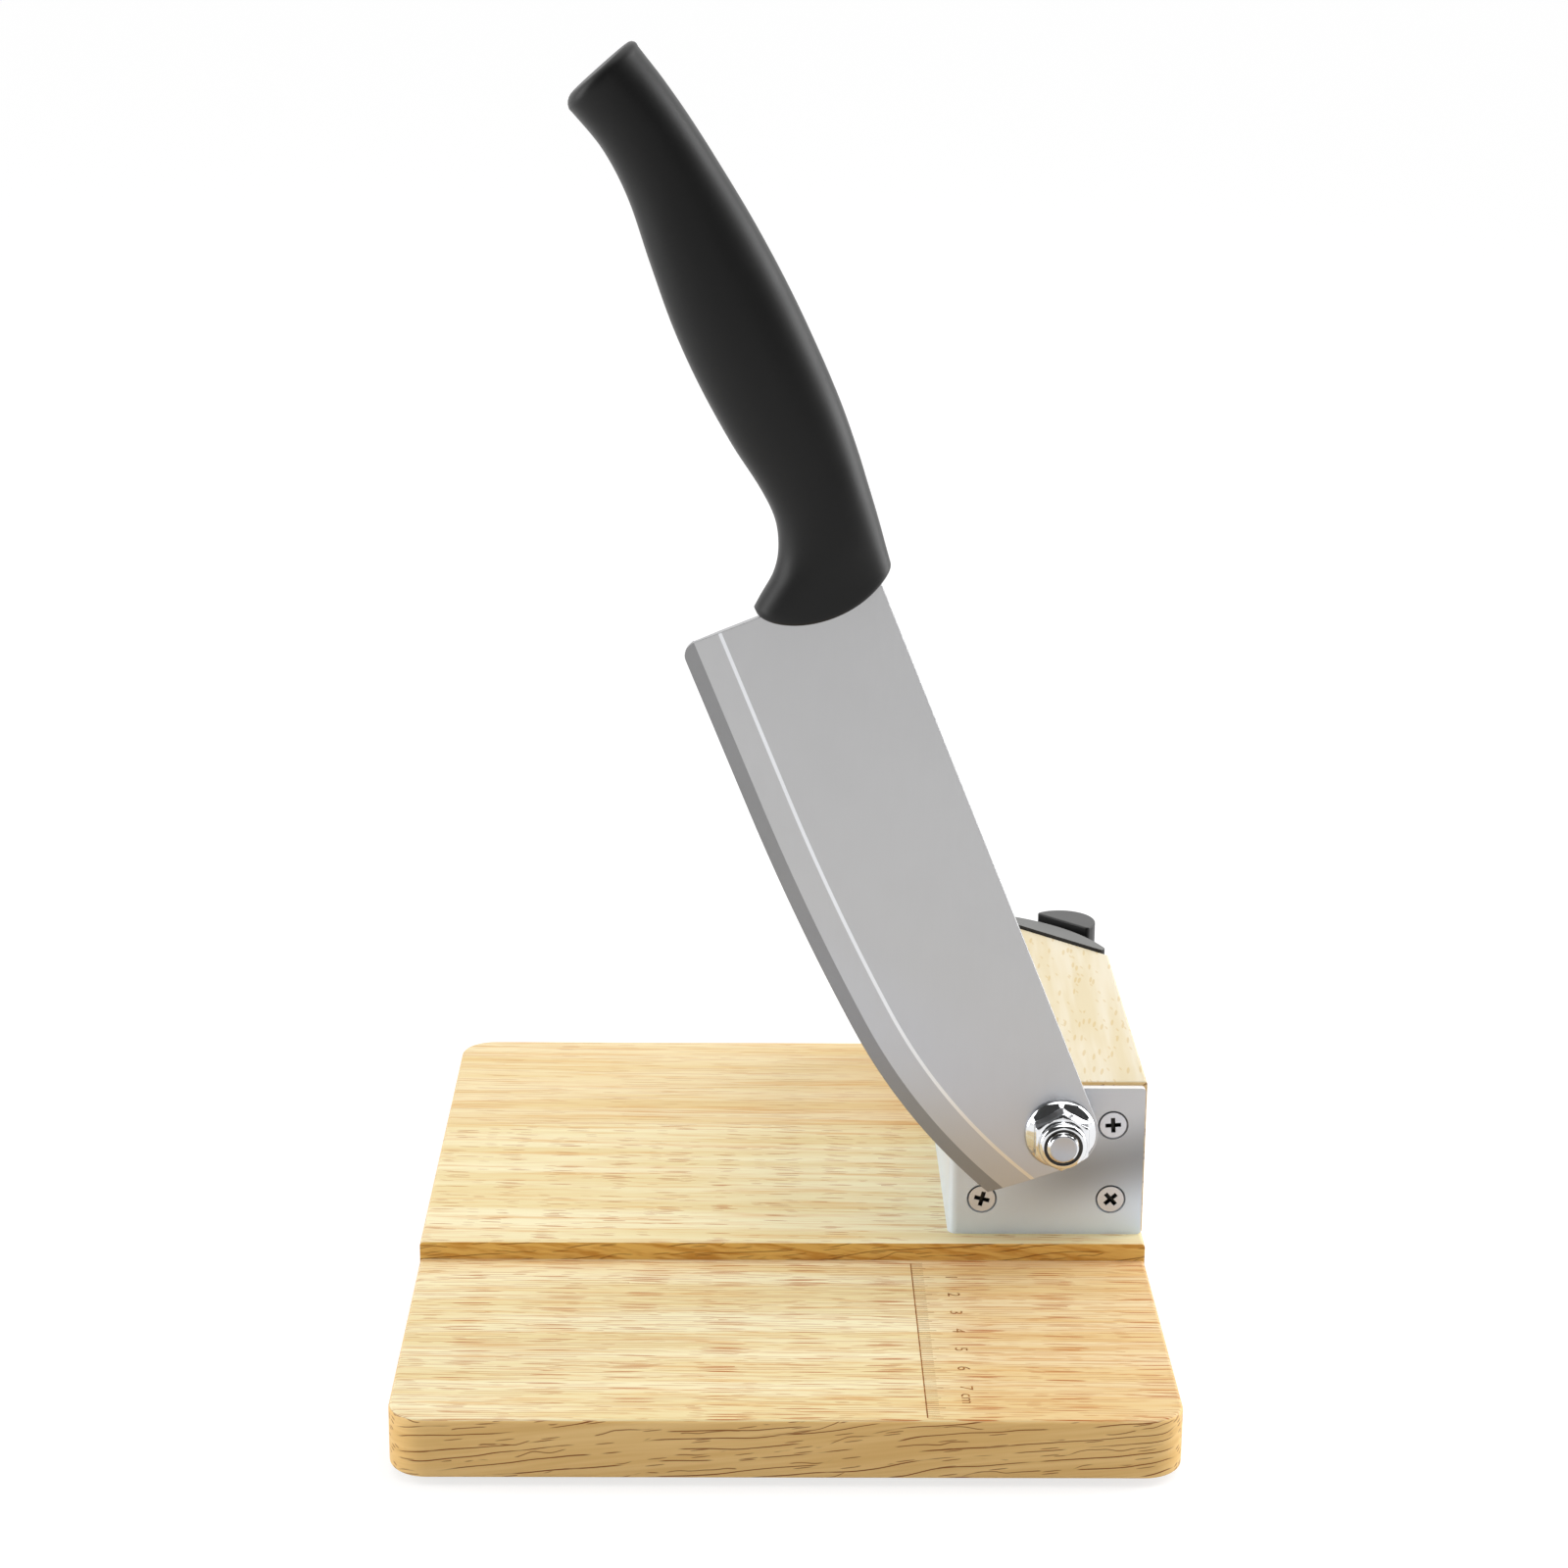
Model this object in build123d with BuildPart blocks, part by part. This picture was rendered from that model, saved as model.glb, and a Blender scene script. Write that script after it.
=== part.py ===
from build123d import *
from math import atan2, copysign, cos, degrees, pi, radians, sin, tan
import os

# Bagel guillotine slicer, in millimetres. X runs to the right, Y away from the user, Z up.
# The origin is on the table, under the middle of the board. The knife is modelled raised.

# Driving dimensions of the board
board_width = 180.0
board_depth = 227.0
board_thickness = 19.0
board_corner_radius = 9.0
board_edge_round = 1.0
ledge_depth = 86.5
step_height = 4.5

# Driving dimensions of the feet
foot_diameter = 14.0
foot_height = 2.0
foot_margin = 9.0
foot_edge_round = 0.5

# Driving dimensions of the pivot block
block_width = 46.7
block_height = 40.0
block_rear_margin = 3.25
block_corner_cut = 34.0
block_corner_radius = 5.0
block_edge_round = 0.7

# Driving dimensions of the steel bracket on the block
plate_thickness = 2.0
plate_top_margin = 1.0
plate_side_margin = 0.5
flange_length = 64.0
bend_inner_radius = 0.3
plate_corner_radius = 1.0

# Driving dimensions of the countersunk wood screws with a cross recess
small_thread_diameter = 3.5
small_head_diameter = 6.6
small_screw_length = 18.0
large_thread_diameter = 4.0
large_head_diameter = 8.0
large_screw_length = 38.0
head_rim_height = 0.3
recess_reach = 3.9
recess_arm_width = 1.1
recess_depth = 1.5
recess_taper = 8.0
point_length = 4.5
point_diameter = 0.9
countersink_ring = 0.5
screw_clearance = 0.05

# Driving dimensions that place the screws
front_screw_spacing_x = 32.1
front_screw_spacing_z = 19.8
front_screw_height = 9.4
flange_screw_first = 24.0
flange_screw_spacing = 28.0
block_screw_inset = 24.0
block_screw_rear_inset = 11.1
block_screw_head_sink = 0.6

# Driving dimensions of the pivot bolt and of what is on it
pivot_offset = 2.0
pivot_height = 30.7
bolt_diameter = 8.0
bolt_end_chamfer = 0.7
bolt_end_proud = 0.8
hex_across_flats = 13.0
bolt_head_height = 5.3
bolt_pocket_clearance = 0.5
jam_nut_height = 4.0
washer_diameter = 16.0
washer_thickness = 1.6
bearing_washer_thickness = 0.8
nut_flange_diameter = 17.6
nut_flange_rim = 1.1
nut_flange_height = 2.6
nut_hex_height = 6.6
nut_height = 9.4
nut_turn = 30.0
nut_crown_diameter = 11.8
nut_crown_round = 1.0
nut_mouth_diameter = 9.4
nut_mouth_lip = 0.5
lock_ring_diameter = 10.2
lock_ring_height = 2.2
hex_chamfer_angle = 60.0
thread_fit = 0.05
plate_hole_clearance = 0.2
running_clearance = 0.05
running_play = 0.05
step_clearance = 0.3

# Driving dimensions of the blade, measured from the pivot along and across the spine
knife_lean = 22.2
blade_thickness = 2.5
spine_offset = 9.4
edge_offset = 40.1
heel_distance = 148.0
heel_radius = 3.5
belly_start = 105.0
belly_middle = 44.0
belly_drop = 2.9
tip_behind = 8.4
tip_offset = 22.1
bevel_width = 10.5
edge_bevel_width = 3.5
edge_bevel_thickness = 1.5
edge_thickness = 0.3
bevel_run_out = 8.0
tang_width = 13.0
tang_length = 92.0
tang_end_radius = 4.0
tang_clearance = 0.05

# Driving dimensions of the handle
handle_start = 142.7
handle_length = 138.6
handle_width = 29.0
handle_thickness = 21.0
handle_nose_round = 1.0
handle_butt_round = 2.0
butt_slant = 19.0

# Driving dimensions of the sharpener on the cut corner of the block
sharpener_length = 43.6
sharpener_crown = 6.6
sharpener_end_depth = 1.6
sharpener_end_round = 1.2
sharpener_lip = 0.8
slot_width = 2.4
slot_depth = 15.0
outer_wall_radius = 9.3
outer_wall_rise = 2.0
outer_wall_round = 0.9
web_width = 15.0
insert_width = 3.5
insert_length = 17.0
insert_thickness = 1.8
insert_tilt = 22.0
insert_height = 4.0
insert_clearance = 0.1
sharpener_screw_spacing = 29.0
sharpener_screw_seat = 2.4
wall_screw_height = 12.0
wall_screw_seat = 4.5

# One overrun serves all cuts.
overrun = 1.0

# Outline of the handle. Each row is the distance along the handle as a share of its length, the
# spine side and the finger side as shares of its width, and the thickness as a share.
handle_shares = [
    (-0.027, -0.414, 0.970, 0.80),
    (0.009, -0.441, 0.885, 0.81),
    (0.040, -0.455, 0.786, 0.82),
    (0.070, -0.470, 0.626, 0.83),
    (0.099, -0.486, 0.455, 0.84),
    (0.134, -0.503, 0.343, 0.85),
    (0.183, -0.523, 0.276, 0.87),
    (0.240, -0.545, 0.290, 0.90),
    (0.330, -0.562, 0.370, 0.96),
    (0.443, -0.548, 0.432, 1.00),
    (0.548, -0.514, 0.450, 1.00),
    (0.659, -0.452, 0.426, 0.97),
    (0.771, -0.364, 0.394, 0.93),
    (0.856, -0.286, 0.432, 0.93),
    (0.926, -0.206, 0.536, 0.96),
    (0.970, -0.145, 0.620, 0.99),
    (1.020, -0.075, 0.710, 1.00),
]
# The nose of the handle is an arc, through these shares of its length and width.
nose_shares = [(0.062, 0.810), (0.000, 0.095), (0.040, -0.490)]
butt_corner_share = -0.08
# Each section is a superellipse of this power, drawn through this many points.
section_power = 2.5
section_points = 20

# Levels and places that follow from the driving dimensions
board_top = foot_height + board_thickness
ledge_top = board_top - step_height
right_side = board_width / 2
board_front = -board_depth / 2
step_y = board_front + ledge_depth
blade_back = step_y - step_clearance
knife_middle = blade_back - blade_thickness / 2
nut_seat = blade_back - blade_thickness - running_play
bolt_end = nut_seat - nut_height - bolt_end_proud
bearing_face = blade_back + running_play
plate_front = bearing_face + bearing_washer_thickness + washer_thickness + jam_nut_height
block_front = plate_front + plate_thickness
block_back = board_depth / 2 - block_rear_margin
block_left = right_side - block_width
plate_left = block_left - plate_thickness
block_middle = (plate_left + right_side) / 2
pivot_x = block_middle + pivot_offset
pivot_z = board_top + pivot_height

# The knife's plane has X along the spine towards the handle and Y towards the cutting edge.
lean = radians(knife_lean)
knife_plane = Plane(
    origin=(pivot_x, knife_middle, pivot_z),
    x_dir=(-sin(lean), 0, cos(lean)),
    z_dir=(0, -1, 0),
)
# The cut corner's plane has X along the cut and Y out of it.
cut_plane = Plane(
    origin=(right_side - block_corner_cut / 2, block_back - block_corner_cut / 2, board_top),
    x_dir=(1, -1, 0),
    z_dir=(0, 0, 1),
)

os.makedirs("parts", exist_ok=True)


def towards_user(y, turn=0.0, x=pivot_x, z=pivot_z):
    """Plane on the pivot's axis, or beside it, that looks at the user."""
    return Plane(origin=(x, y, z), x_dir=(cos(radians(turn)), 0, sin(radians(turn))), z_dir=(0, -1, 0))


def on_cut(along, out, up):
    """Plane on the cut corner that looks out of it."""
    return Plane(origin=cut_plane.from_local_coords((along, out, up)), z_dir=cut_plane.y_dir)


def wood_screw(thread, head, length):
    """Countersunk screw with its head flush with Z = 0 and its point down."""
    with BuildPart() as screw:
        with BuildSketch(Plane.XZ):
            with BuildLine():
                Polyline(
                    (0, 0),
                    (head / 2, 0),
                    (head / 2, -head_rim_height),
                    (thread / 2, -head_rim_height - (head - thread) / 2),
                    (thread / 2, point_length - length),
                    (point_diameter / 2, -length),
                    (0, -length),
                    close=True,
                )
            make_face()
        revolve(axis=Axis.Z)
        with BuildSketch(Plane.XY):
            Rectangle(recess_reach, recess_arm_width)
            Rectangle(recess_arm_width, recess_reach)
        extrude(amount=-recess_depth, taper=recess_taper, mode=Mode.SUBTRACT)
    return screw.part


def screw_seat(thread, head, length, above):
    """Room for a screw, with a ring of space round its head and room above it."""
    bore = thread / 2 + screw_clearance
    rim = head / 2 + countersink_ring
    with BuildPart() as seat:
        with BuildSketch(Plane.XZ):
            with BuildLine():
                Polyline(
                    (0, above),
                    (rim, above),
                    (rim, -head_rim_height),
                    (bore, -head_rim_height - rim + bore),
                    (bore, -length - screw_clearance),
                    (0, -length - screw_clearance),
                    close=True,
                )
            make_face()
        revolve(axis=Axis.Z)
    return seat.part


small_screw = wood_screw(small_thread_diameter, small_head_diameter, small_screw_length)
small_seat = screw_seat(small_thread_diameter, small_head_diameter, small_screw_length, overrun)
large_screw = wood_screw(large_thread_diameter, large_head_diameter, large_screw_length)
large_seat = screw_seat(large_thread_diameter, large_head_diameter, large_screw_length, overrun)

# Screws in the bracket's front, each with its cross recess turned its own way
low_z = board_top + front_screw_height
high_z = low_z + front_screw_spacing_z
left_x = block_middle - front_screw_spacing_x / 2
right_x = block_middle + front_screw_spacing_x / 2
front_screws = {
    "bracket_screw_upper_left": towards_user(plate_front, 30, left_x, high_z),
    "bracket_screw_upper_right": towards_user(plate_front, 4, right_x, high_z),
    "bracket_screw_lower_left": towards_user(plate_front, -14, left_x, low_z),
    "bracket_screw_lower_right": towards_user(plate_front, 42, right_x, low_z),
}

# Screws in the bracket's side flange
bracket_height = block_height - plate_top_margin
flange_screw_y = plate_front + flange_screw_first
flange_screws = {
    name: Plane(origin=(plate_left, y, board_top + bracket_height / 2), z_dir=(-1, 0, 0))
    for name, y in (
        ("flange_screw_front", flange_screw_y),
        ("flange_screw_rear", flange_screw_y + flange_screw_spacing),
    )
}

# Screws that hold the block, up through the board, evenly spaced along its whole flank
block_screw_names = ("block_screw_front", "block_screw_middle", "block_screw_rear")
first_block_screw = block_front + block_screw_inset
last_block_screw = block_back - block_corner_cut - block_screw_rear_inset
block_screw_spacing = (last_block_screw - first_block_screw) / (len(block_screw_names) - 1)
block_screws = {
    name: Plane(
        origin=(
            (block_left + right_side) / 2,
            first_block_screw + count * block_screw_spacing,
            foot_height + block_screw_head_sink,
        ),
        z_dir=(0, 0, -1),
    )
    for count, name in enumerate(block_screw_names)
}

# Screws of the sharpener: two through its back plate, and a longer one through its outer wall
half_spacing = sharpener_screw_spacing / 2
sharpener_screws = {
    "sharpener_screw_left": on_cut(-half_spacing, sharpener_screw_seat, block_height / 2),
    "sharpener_screw_right": on_cut(half_spacing, sharpener_screw_seat, block_height / 2),
}
outer_wall_face = sharpener_crown + slot_width
wall_screw_out = outer_wall_face + outer_wall_radius - wall_screw_seat
wall_screw_length = wall_screw_out + small_screw_length
wall_screw_place = on_cut(0, wall_screw_out, wall_screw_height)
wall_screw = wood_screw(small_thread_diameter, small_head_diameter, wall_screw_length)
wall_screw_seat_shape = screw_seat(
    small_thread_diameter, small_head_diameter, wall_screw_length, wall_screw_seat + overrun
)
deep_seat = screw_seat(
    small_thread_diameter, small_head_diameter, small_screw_length, sharpener_crown + overrun
)

# Board, with a lower ledge in front that the blade comes down on
with BuildPart() as base_board:
    with BuildSketch(Plane.XY.offset(foot_height)):
        RectangleRounded(board_width, board_depth, board_corner_radius)
    extrude(amount=board_thickness)
    with BuildSketch(Plane.YZ.offset(-right_side - overrun)):
        with Locations((board_front - overrun, ledge_top)):
            Rectangle(ledge_depth + overrun, step_height + overrun, align=Align.MIN)
    extrude(amount=board_width + 2 * overrun, mode=Mode.SUBTRACT)
    underside, ledge_face, top_face = base_board.faces().filter_by(Plane.XY).sort_by(Axis.Z)
    rims = underside.edges()
    rims += ledge_face.edges().filter_by(lambda edge: edge.center().Y < step_y - board_edge_round)
    rims += top_face.edges().filter_by(lambda edge: edge.center().Y > step_y + board_edge_round)
    fillet(rims, radius=board_edge_round)
    with Locations(*block_screws.values()):
        add(large_seat, mode=Mode.SUBTRACT)
base_board.part.label = "base_board"
export_step(base_board.part, "parts/base_board.step")

# Feet, stuck under the board near its corners
foot_x = board_width / 2 - foot_margin - foot_diameter / 2
foot_y = board_depth / 2 - foot_margin - foot_diameter / 2
feet = {
    "foot_front_left": (-foot_x, -foot_y),
    "foot_front_right": (foot_x, -foot_y),
    "foot_rear_left": (-foot_x, foot_y),
    "foot_rear_right": (foot_x, foot_y),
}
for name, centre in feet.items():
    with BuildPart() as foot:
        with BuildSketch(Plane.XY):
            with Locations(centre):
                Circle(foot_diameter / 2)
        extrude(amount=foot_height)
        fillet(foot.faces().sort_by(Axis.Z)[0].edges(), radius=foot_edge_round)
    foot.part.label = name
    export_step(foot.part, f"parts/{name}.step")

# Block that carries the pivot, with its far right corner cut off for the sharpener
hex_corner_radius = hex_across_flats / 2 / cos(radians(30))
with BuildPart() as pivot_block:
    with BuildSketch(Plane.XY.offset(board_top)) as block_section:
        with BuildLine():
            Polyline(
                (block_left, block_front),
                (right_side, block_front),
                (right_side, block_back - block_corner_cut),
                (right_side - block_corner_cut, block_back),
                (block_left, block_back),
                close=True,
            )
        make_face()
        corners = block_section.vertices().sort_by(Axis.X)
        fillet(corners[:2], radius=block_edge_round)
        fillet(corners[-2:].sort_by(Axis.Y)[-1], radius=block_corner_radius)
    extrude(amount=block_height)
    fillet(pivot_block.faces().sort_by(Axis.Z)[-1].edges(), radius=block_edge_round)
    with BuildSketch(towards_user(block_front)):
        Circle(hex_corner_radius + bolt_pocket_clearance)
    extrude(amount=-bolt_head_height - bolt_pocket_clearance, mode=Mode.SUBTRACT)
    with Locations(*front_screws.values(), *flange_screws.values(), *sharpener_screws.values()):
        add(small_seat, mode=Mode.SUBTRACT)
    with Locations(wall_screw_place):
        add(wall_screw_seat_shape, mode=Mode.SUBTRACT)
    with Locations(*block_screws.values()):
        add(large_seat, mode=Mode.SUBTRACT)
pivot_block.part.label = "pivot_block"
export_step(pivot_block.part, "parts/pivot_block.step")

# Bent steel bracket, round the front and the left side of the block
with BuildPart() as pivot_bracket:
    with BuildSketch(Plane.XY.offset(board_top)) as bracket_section:
        with BuildLine():
            Polyline(
                (right_side - plate_side_margin, plate_front),
                (plate_left, plate_front),
                (plate_left, plate_front + flange_length),
                (block_left, plate_front + flange_length),
                (block_left, block_front),
                (right_side - plate_side_margin, block_front),
                close=True,
            )
        make_face()
        corners = bracket_section.vertices().sort_by_distance((plate_left, plate_front))
        fillet(corners[0], radius=bend_inner_radius + plate_thickness)
        corners = bracket_section.vertices().sort_by_distance((block_left, block_front))
        fillet(corners[0], radius=bend_inner_radius)
    extrude(amount=bracket_height)
    front_corners = pivot_bracket.edges().filter_by(Axis.Y).sort_by(Axis.X)[-2:]
    flange_corners = pivot_bracket.edges().filter_by(Axis.X).sort_by(Axis.Y)[-2:]
    fillet(front_corners + flange_corners, radius=plate_corner_radius)
    with BuildSketch(towards_user(plate_front - overrun)):
        Circle(bolt_diameter / 2 + plate_hole_clearance)
    extrude(amount=-plate_thickness - 2 * overrun, mode=Mode.SUBTRACT)
    with Locations(*front_screws.values(), *flange_screws.values()):
        add(small_seat, mode=Mode.SUBTRACT)
pivot_bracket.part.label = "pivot_bracket"
export_step(pivot_bracket.part, "parts/pivot_bracket.step")

# Wood screws, each in its place
small_places = {**front_screws, **flange_screws, **sharpener_screws}
fasteners = [(name, place, small_screw) for name, place in small_places.items()]
fasteners += [(name, place, large_screw) for name, place in block_screws.items()]
fasteners += [("sharpener_wall_screw", wall_screw_place, wall_screw)]
for name, place, shape in fasteners:
    with BuildPart() as fastener:
        with Locations(place):
            add(shape)
    fastener.part.label = name
    export_step(fastener.part, f"parts/{name}.step")

# Pivot bolt, with its head behind the bracket and its threaded end towards the user
with BuildPart() as pivot_bolt:
    with BuildSketch(towards_user(block_front)):
        RegularPolygon(hex_across_flats / 2, side_count=6, major_radius=False)
    extrude(amount=-bolt_head_height)
    with BuildSketch(towards_user(block_front)):
        Circle(bolt_diameter / 2)
    extrude(amount=block_front - bolt_end)
    chamfer(pivot_bolt.faces().sort_by(Axis.Y)[0].edges(), length=bolt_end_chamfer)
pivot_bolt.part.label = "pivot_bolt"
export_step(pivot_bolt.part, "parts/pivot_bolt.step")

# Thin nut that clamps the bolt to the bracket
thread_radius = bolt_diameter / 2 + thread_fit
from_back = (Align.CENTER, Align.CENTER, Align.MIN)
with BuildPart() as pivot_jam_nut:
    with BuildSketch(towards_user(plate_front)):
        RegularPolygon(hex_across_flats / 2, side_count=6, major_radius=False)
        Circle(thread_radius, mode=Mode.SUBTRACT)
    extrude(amount=jam_nut_height)
    with Locations(towards_user(plate_front)):
        Cone(
            hex_across_flats / 2 + jam_nut_height * tan(radians(hex_chamfer_angle)),
            hex_across_flats / 2,
            jam_nut_height,
            align=from_back,
            mode=Mode.INTERSECT,
        )
pivot_jam_nut.part.label = "pivot_jam_nut"
export_step(pivot_jam_nut.part, "parts/pivot_jam_nut.step")

# Steel washer, and the slippery washer that the blade turns on
washers = {
    "pivot_washer": (plate_front - jam_nut_height, washer_thickness),
    "bearing_washer": (bearing_face + bearing_washer_thickness, bearing_washer_thickness),
}
for name, (back, thickness) in washers.items():
    with BuildPart() as washer:
        with BuildSketch(towards_user(back)):
            Circle(washer_diameter / 2)
            Circle(thread_radius, mode=Mode.SUBTRACT)
        extrude(amount=thickness)
    washer.part.label = name
    export_step(washer.part, f"parts/{name}.step")

# Flange lock nut in front of the blade
ring_seat = nut_height - nut_mouth_lip - lock_ring_height
with BuildPart() as flange_nut:
    with BuildSketch(towards_user(nut_seat, nut_turn)):
        RegularPolygon(hex_across_flats / 2, side_count=6, major_radius=False)
    extrude(amount=nut_hex_height)
    with Locations(towards_user(nut_seat)):
        Cone(
            hex_across_flats / 2 + nut_hex_height * tan(radians(hex_chamfer_angle)),
            hex_across_flats / 2,
            nut_hex_height,
            align=from_back,
            mode=Mode.INTERSECT,
        )
        Cylinder(nut_flange_diameter / 2, nut_flange_rim, align=from_back)
        Cylinder(nut_crown_diameter / 2, nut_height, align=from_back)
    fillet(flange_nut.faces().sort_by(Axis.Y)[0].edges(), radius=nut_crown_round)
    with Locations(towards_user(nut_seat - nut_flange_rim)):
        Cone(
            nut_flange_diameter / 2,
            hex_across_flats / 2,
            nut_flange_height - nut_flange_rim,
            align=from_back,
        )
    with Locations(towards_user(nut_seat)):
        Cylinder(thread_radius, nut_height, align=from_back, mode=Mode.SUBTRACT)
    with Locations(towards_user(nut_seat - ring_seat)):
        Cylinder(lock_ring_diameter / 2, lock_ring_height, align=from_back, mode=Mode.SUBTRACT)
        Cylinder(nut_mouth_diameter / 2, nut_height, align=from_back, mode=Mode.SUBTRACT)
flange_nut.part.label = "flange_nut"
export_step(flange_nut.part, "parts/flange_nut.step")

# Plastic ring in the crown of the nut, which grips the thread
with BuildPart() as nut_lock_ring:
    with BuildSketch(towards_user(nut_seat - ring_seat)):
        Circle(lock_ring_diameter / 2 - thread_fit)
        Circle(thread_radius, mode=Mode.SUBTRACT)
    extrude(amount=lock_ring_height)
nut_lock_ring.part.label = "nut_lock_ring"
export_step(nut_lock_ring.part, "parts/nut_lock_ring.step")

# The cutting edge is straight from the heel, then two arcs that meet smoothly at the belly.
belly = Vector(belly_middle, edge_offset - belly_drop)
tip = Vector(-tip_behind, tip_offset)
belly_run = belly_start - belly_middle
first_radius = (belly_run**2 + belly_drop**2) / (2 * belly_drop)
first_centre = Vector(belly_start, edge_offset - first_radius)
inward = (first_centre - belly).normalized()
second_radius = (tip - belly).length ** 2 / (2 * (tip - belly).dot(inward))
second_centre = belly + inward * second_radius
first_turn = degrees(atan2(belly_run, first_radius - belly_drop))
tip_angle = degrees(atan2(tip.Y - second_centre.Y, tip.X - second_centre.X))
second_turn = tip_angle - 90 - first_turn


def edge_line(inset, heel, extra_turn=0.0):
    """Line of the cutting edge moved into the blade by inset. Returns where it ends."""
    Line((heel, edge_offset - inset), (belly_start, edge_offset - inset))
    CenterArc(first_centre, first_radius - inset, 90, first_turn)
    last = CenterArc(second_centre, second_radius - inset, 90 + first_turn, second_turn + extra_turn)
    return last @ 1


# Blade with two bevels a side, made by a loft across its thickness, and a tang for the handle
bevel_steps = [
    (0, 0),
    (edge_thickness / 2, 0),
    (edge_bevel_thickness / 2, edge_bevel_width),
    (blade_thickness / 2, bevel_width),
]
with BuildPart() as blade:
    for height, inset in bevel_steps:
        with BuildSketch(knife_plane.offset(height)):
            with BuildLine():
                heel = heel_distance + overrun
                far = -spine_offset - overrun
                end = edge_line(inset, heel, bevel_run_out)
                Polyline(end, (end.X, far), (heel, far), (heel, edge_offset - inset))
            make_face()
    loft(ruled=True)
    mirror(about=knife_plane)
    with BuildSketch(knife_plane.offset(-blade_thickness / 2)) as blade_outline:
        with BuildLine():
            end = edge_line(0, heel_distance)
            Line(end, (-spine_offset, 0))
            CenterArc((0, 0), spine_offset, 180, 90)
            Polyline((0, -spine_offset), (heel_distance, -spine_offset), (heel_distance, edge_offset))
        make_face()
        heel_corner = blade_outline.vertices().sort_by_distance((heel_distance, edge_offset))[0]
        fillet(heel_corner, radius=heel_radius)
    extrude(amount=blade_thickness, mode=Mode.INTERSECT)
    tang_end = handle_start + tang_length
    with BuildSketch(knife_plane.offset(-blade_thickness / 2)) as tang_outline:
        with Locations((heel_distance - overrun, -spine_offset)):
            Rectangle(tang_end - heel_distance + overrun, tang_width, align=Align.MIN)
        fillet(tang_outline.vertices().sort_by(Axis.X)[-2:], radius=tang_end_radius)
    extrude(amount=blade_thickness)
    with BuildSketch(knife_plane.offset(-blade_thickness / 2)):
        Circle(bolt_diameter / 2 + running_clearance)
    extrude(amount=blade_thickness, mode=Mode.SUBTRACT)
blade.part.label = "blade"
export_step(blade.part, "parts/blade.step")


def handle_section(along, spine_side, finger_side, thickness):
    """Superellipse across the handle."""
    plane = Plane(
        origin=knife_plane.from_local_coords((along, (spine_side + finger_side) / 2, 0)),
        x_dir=knife_plane.y_dir,
        z_dir=knife_plane.x_dir,
    )
    half_width = (finger_side - spine_side) / 2
    points = []
    for count in range(section_points):
        across = cos(2 * pi * count / section_points)
        upward = sin(2 * pi * count / section_points)
        across = copysign(abs(across) ** (2 / section_power), across)
        upward = copysign(abs(upward) ** (2 / section_power), upward)
        points.append((across * half_width, upward * thickness / 2))
    with BuildSketch(plane) as section:
        with BuildLine():
            Spline(*points, periodic=True)
        make_face()
    return section.sketch


# Handle, lofted along the tang, with a curved nose towards the blade and a slanted butt
handle_end = handle_start + handle_length
with BuildPart() as handle:
    for along, spine_side, finger_side, thickness in handle_shares:
        add(
            handle_section(
                handle_start + along * handle_length,
                spine_side * handle_width,
                finger_side * handle_width,
                thickness * handle_thickness,
            )
        )
    loft()
    with BuildSketch(knife_plane.offset(-handle_thickness)):
        with BuildLine():
            nose = [(handle_start + x * handle_length, y * handle_width) for x, y in nose_shares]
            ThreePointArc(*nose)
            slope = tan(radians(butt_slant))
            butt_middle = handle_end + butt_corner_share * handle_width * slope
            Polyline(
                nose[2],
                (nose[2][0], -handle_width),
                (butt_middle + handle_width * slope, -handle_width),
                (butt_middle - handle_width * slope, handle_width),
                (nose[0][0], handle_width),
                nose[0],
            )
        make_face()
    extrude(amount=2 * handle_thickness, mode=Mode.INTERSECT)
    along_knife = Axis(knife_plane.origin, knife_plane.x_dir)
    ends = handle.faces().sort_by(along_knife)
    fillet(ends[-1].edges(), radius=handle_butt_round)
    fillet(handle.faces().sort_by(along_knife)[0].edges(), radius=handle_nose_round)
    slit = blade_thickness / 2 + tang_clearance
    with BuildSketch(knife_plane.offset(-slit)):
        with Locations((handle_start - overrun, -spine_offset - tang_clearance)):
            Rectangle(heel_distance - handle_start + overrun + tang_clearance, edge_offset, align=Align.MIN)
            Rectangle(
                tang_length + overrun + tang_clearance, tang_width + 2 * tang_clearance, align=Align.MIN
            )
    extrude(amount=2 * slit, mode=Mode.SUBTRACT)
handle.part.label = "handle"
export_step(handle.part, "parts/handle.step")

# Sharpening inserts, crossed to a V in the sharpener's slot
slot_floor = block_height + sharpener_lip - slot_depth
insert_plane = Plane(
    origin=cut_plane.from_local_coords((0, sharpener_crown + slot_width / 2, slot_floor + insert_height)),
    x_dir=cut_plane.y_dir,
    z_dir=cut_plane.x_dir,
)
inserts = {"sharpener_insert_left": -1, "sharpener_insert_right": 1}
for name, side in inserts.items():
    with BuildPart() as sharpener_insert:
        with BuildSketch(insert_plane):
            Rectangle(insert_width, insert_length, rotation=side * insert_tilt)
        extrude(amount=side * insert_thickness)
    sharpener_insert.part.label = name
    export_step(sharpener_insert.part, f"parts/{name}.step")

# Pockets that hold the inserts
with BuildPart() as insert_pockets:
    for side in inserts.values():
        with BuildSketch(insert_plane):
            Rectangle(
                insert_width + 2 * insert_clearance,
                insert_length + 2 * insert_clearance,
                rotation=side * insert_tilt,
            )
        extrude(amount=side * (insert_thickness + insert_clearance))

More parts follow.
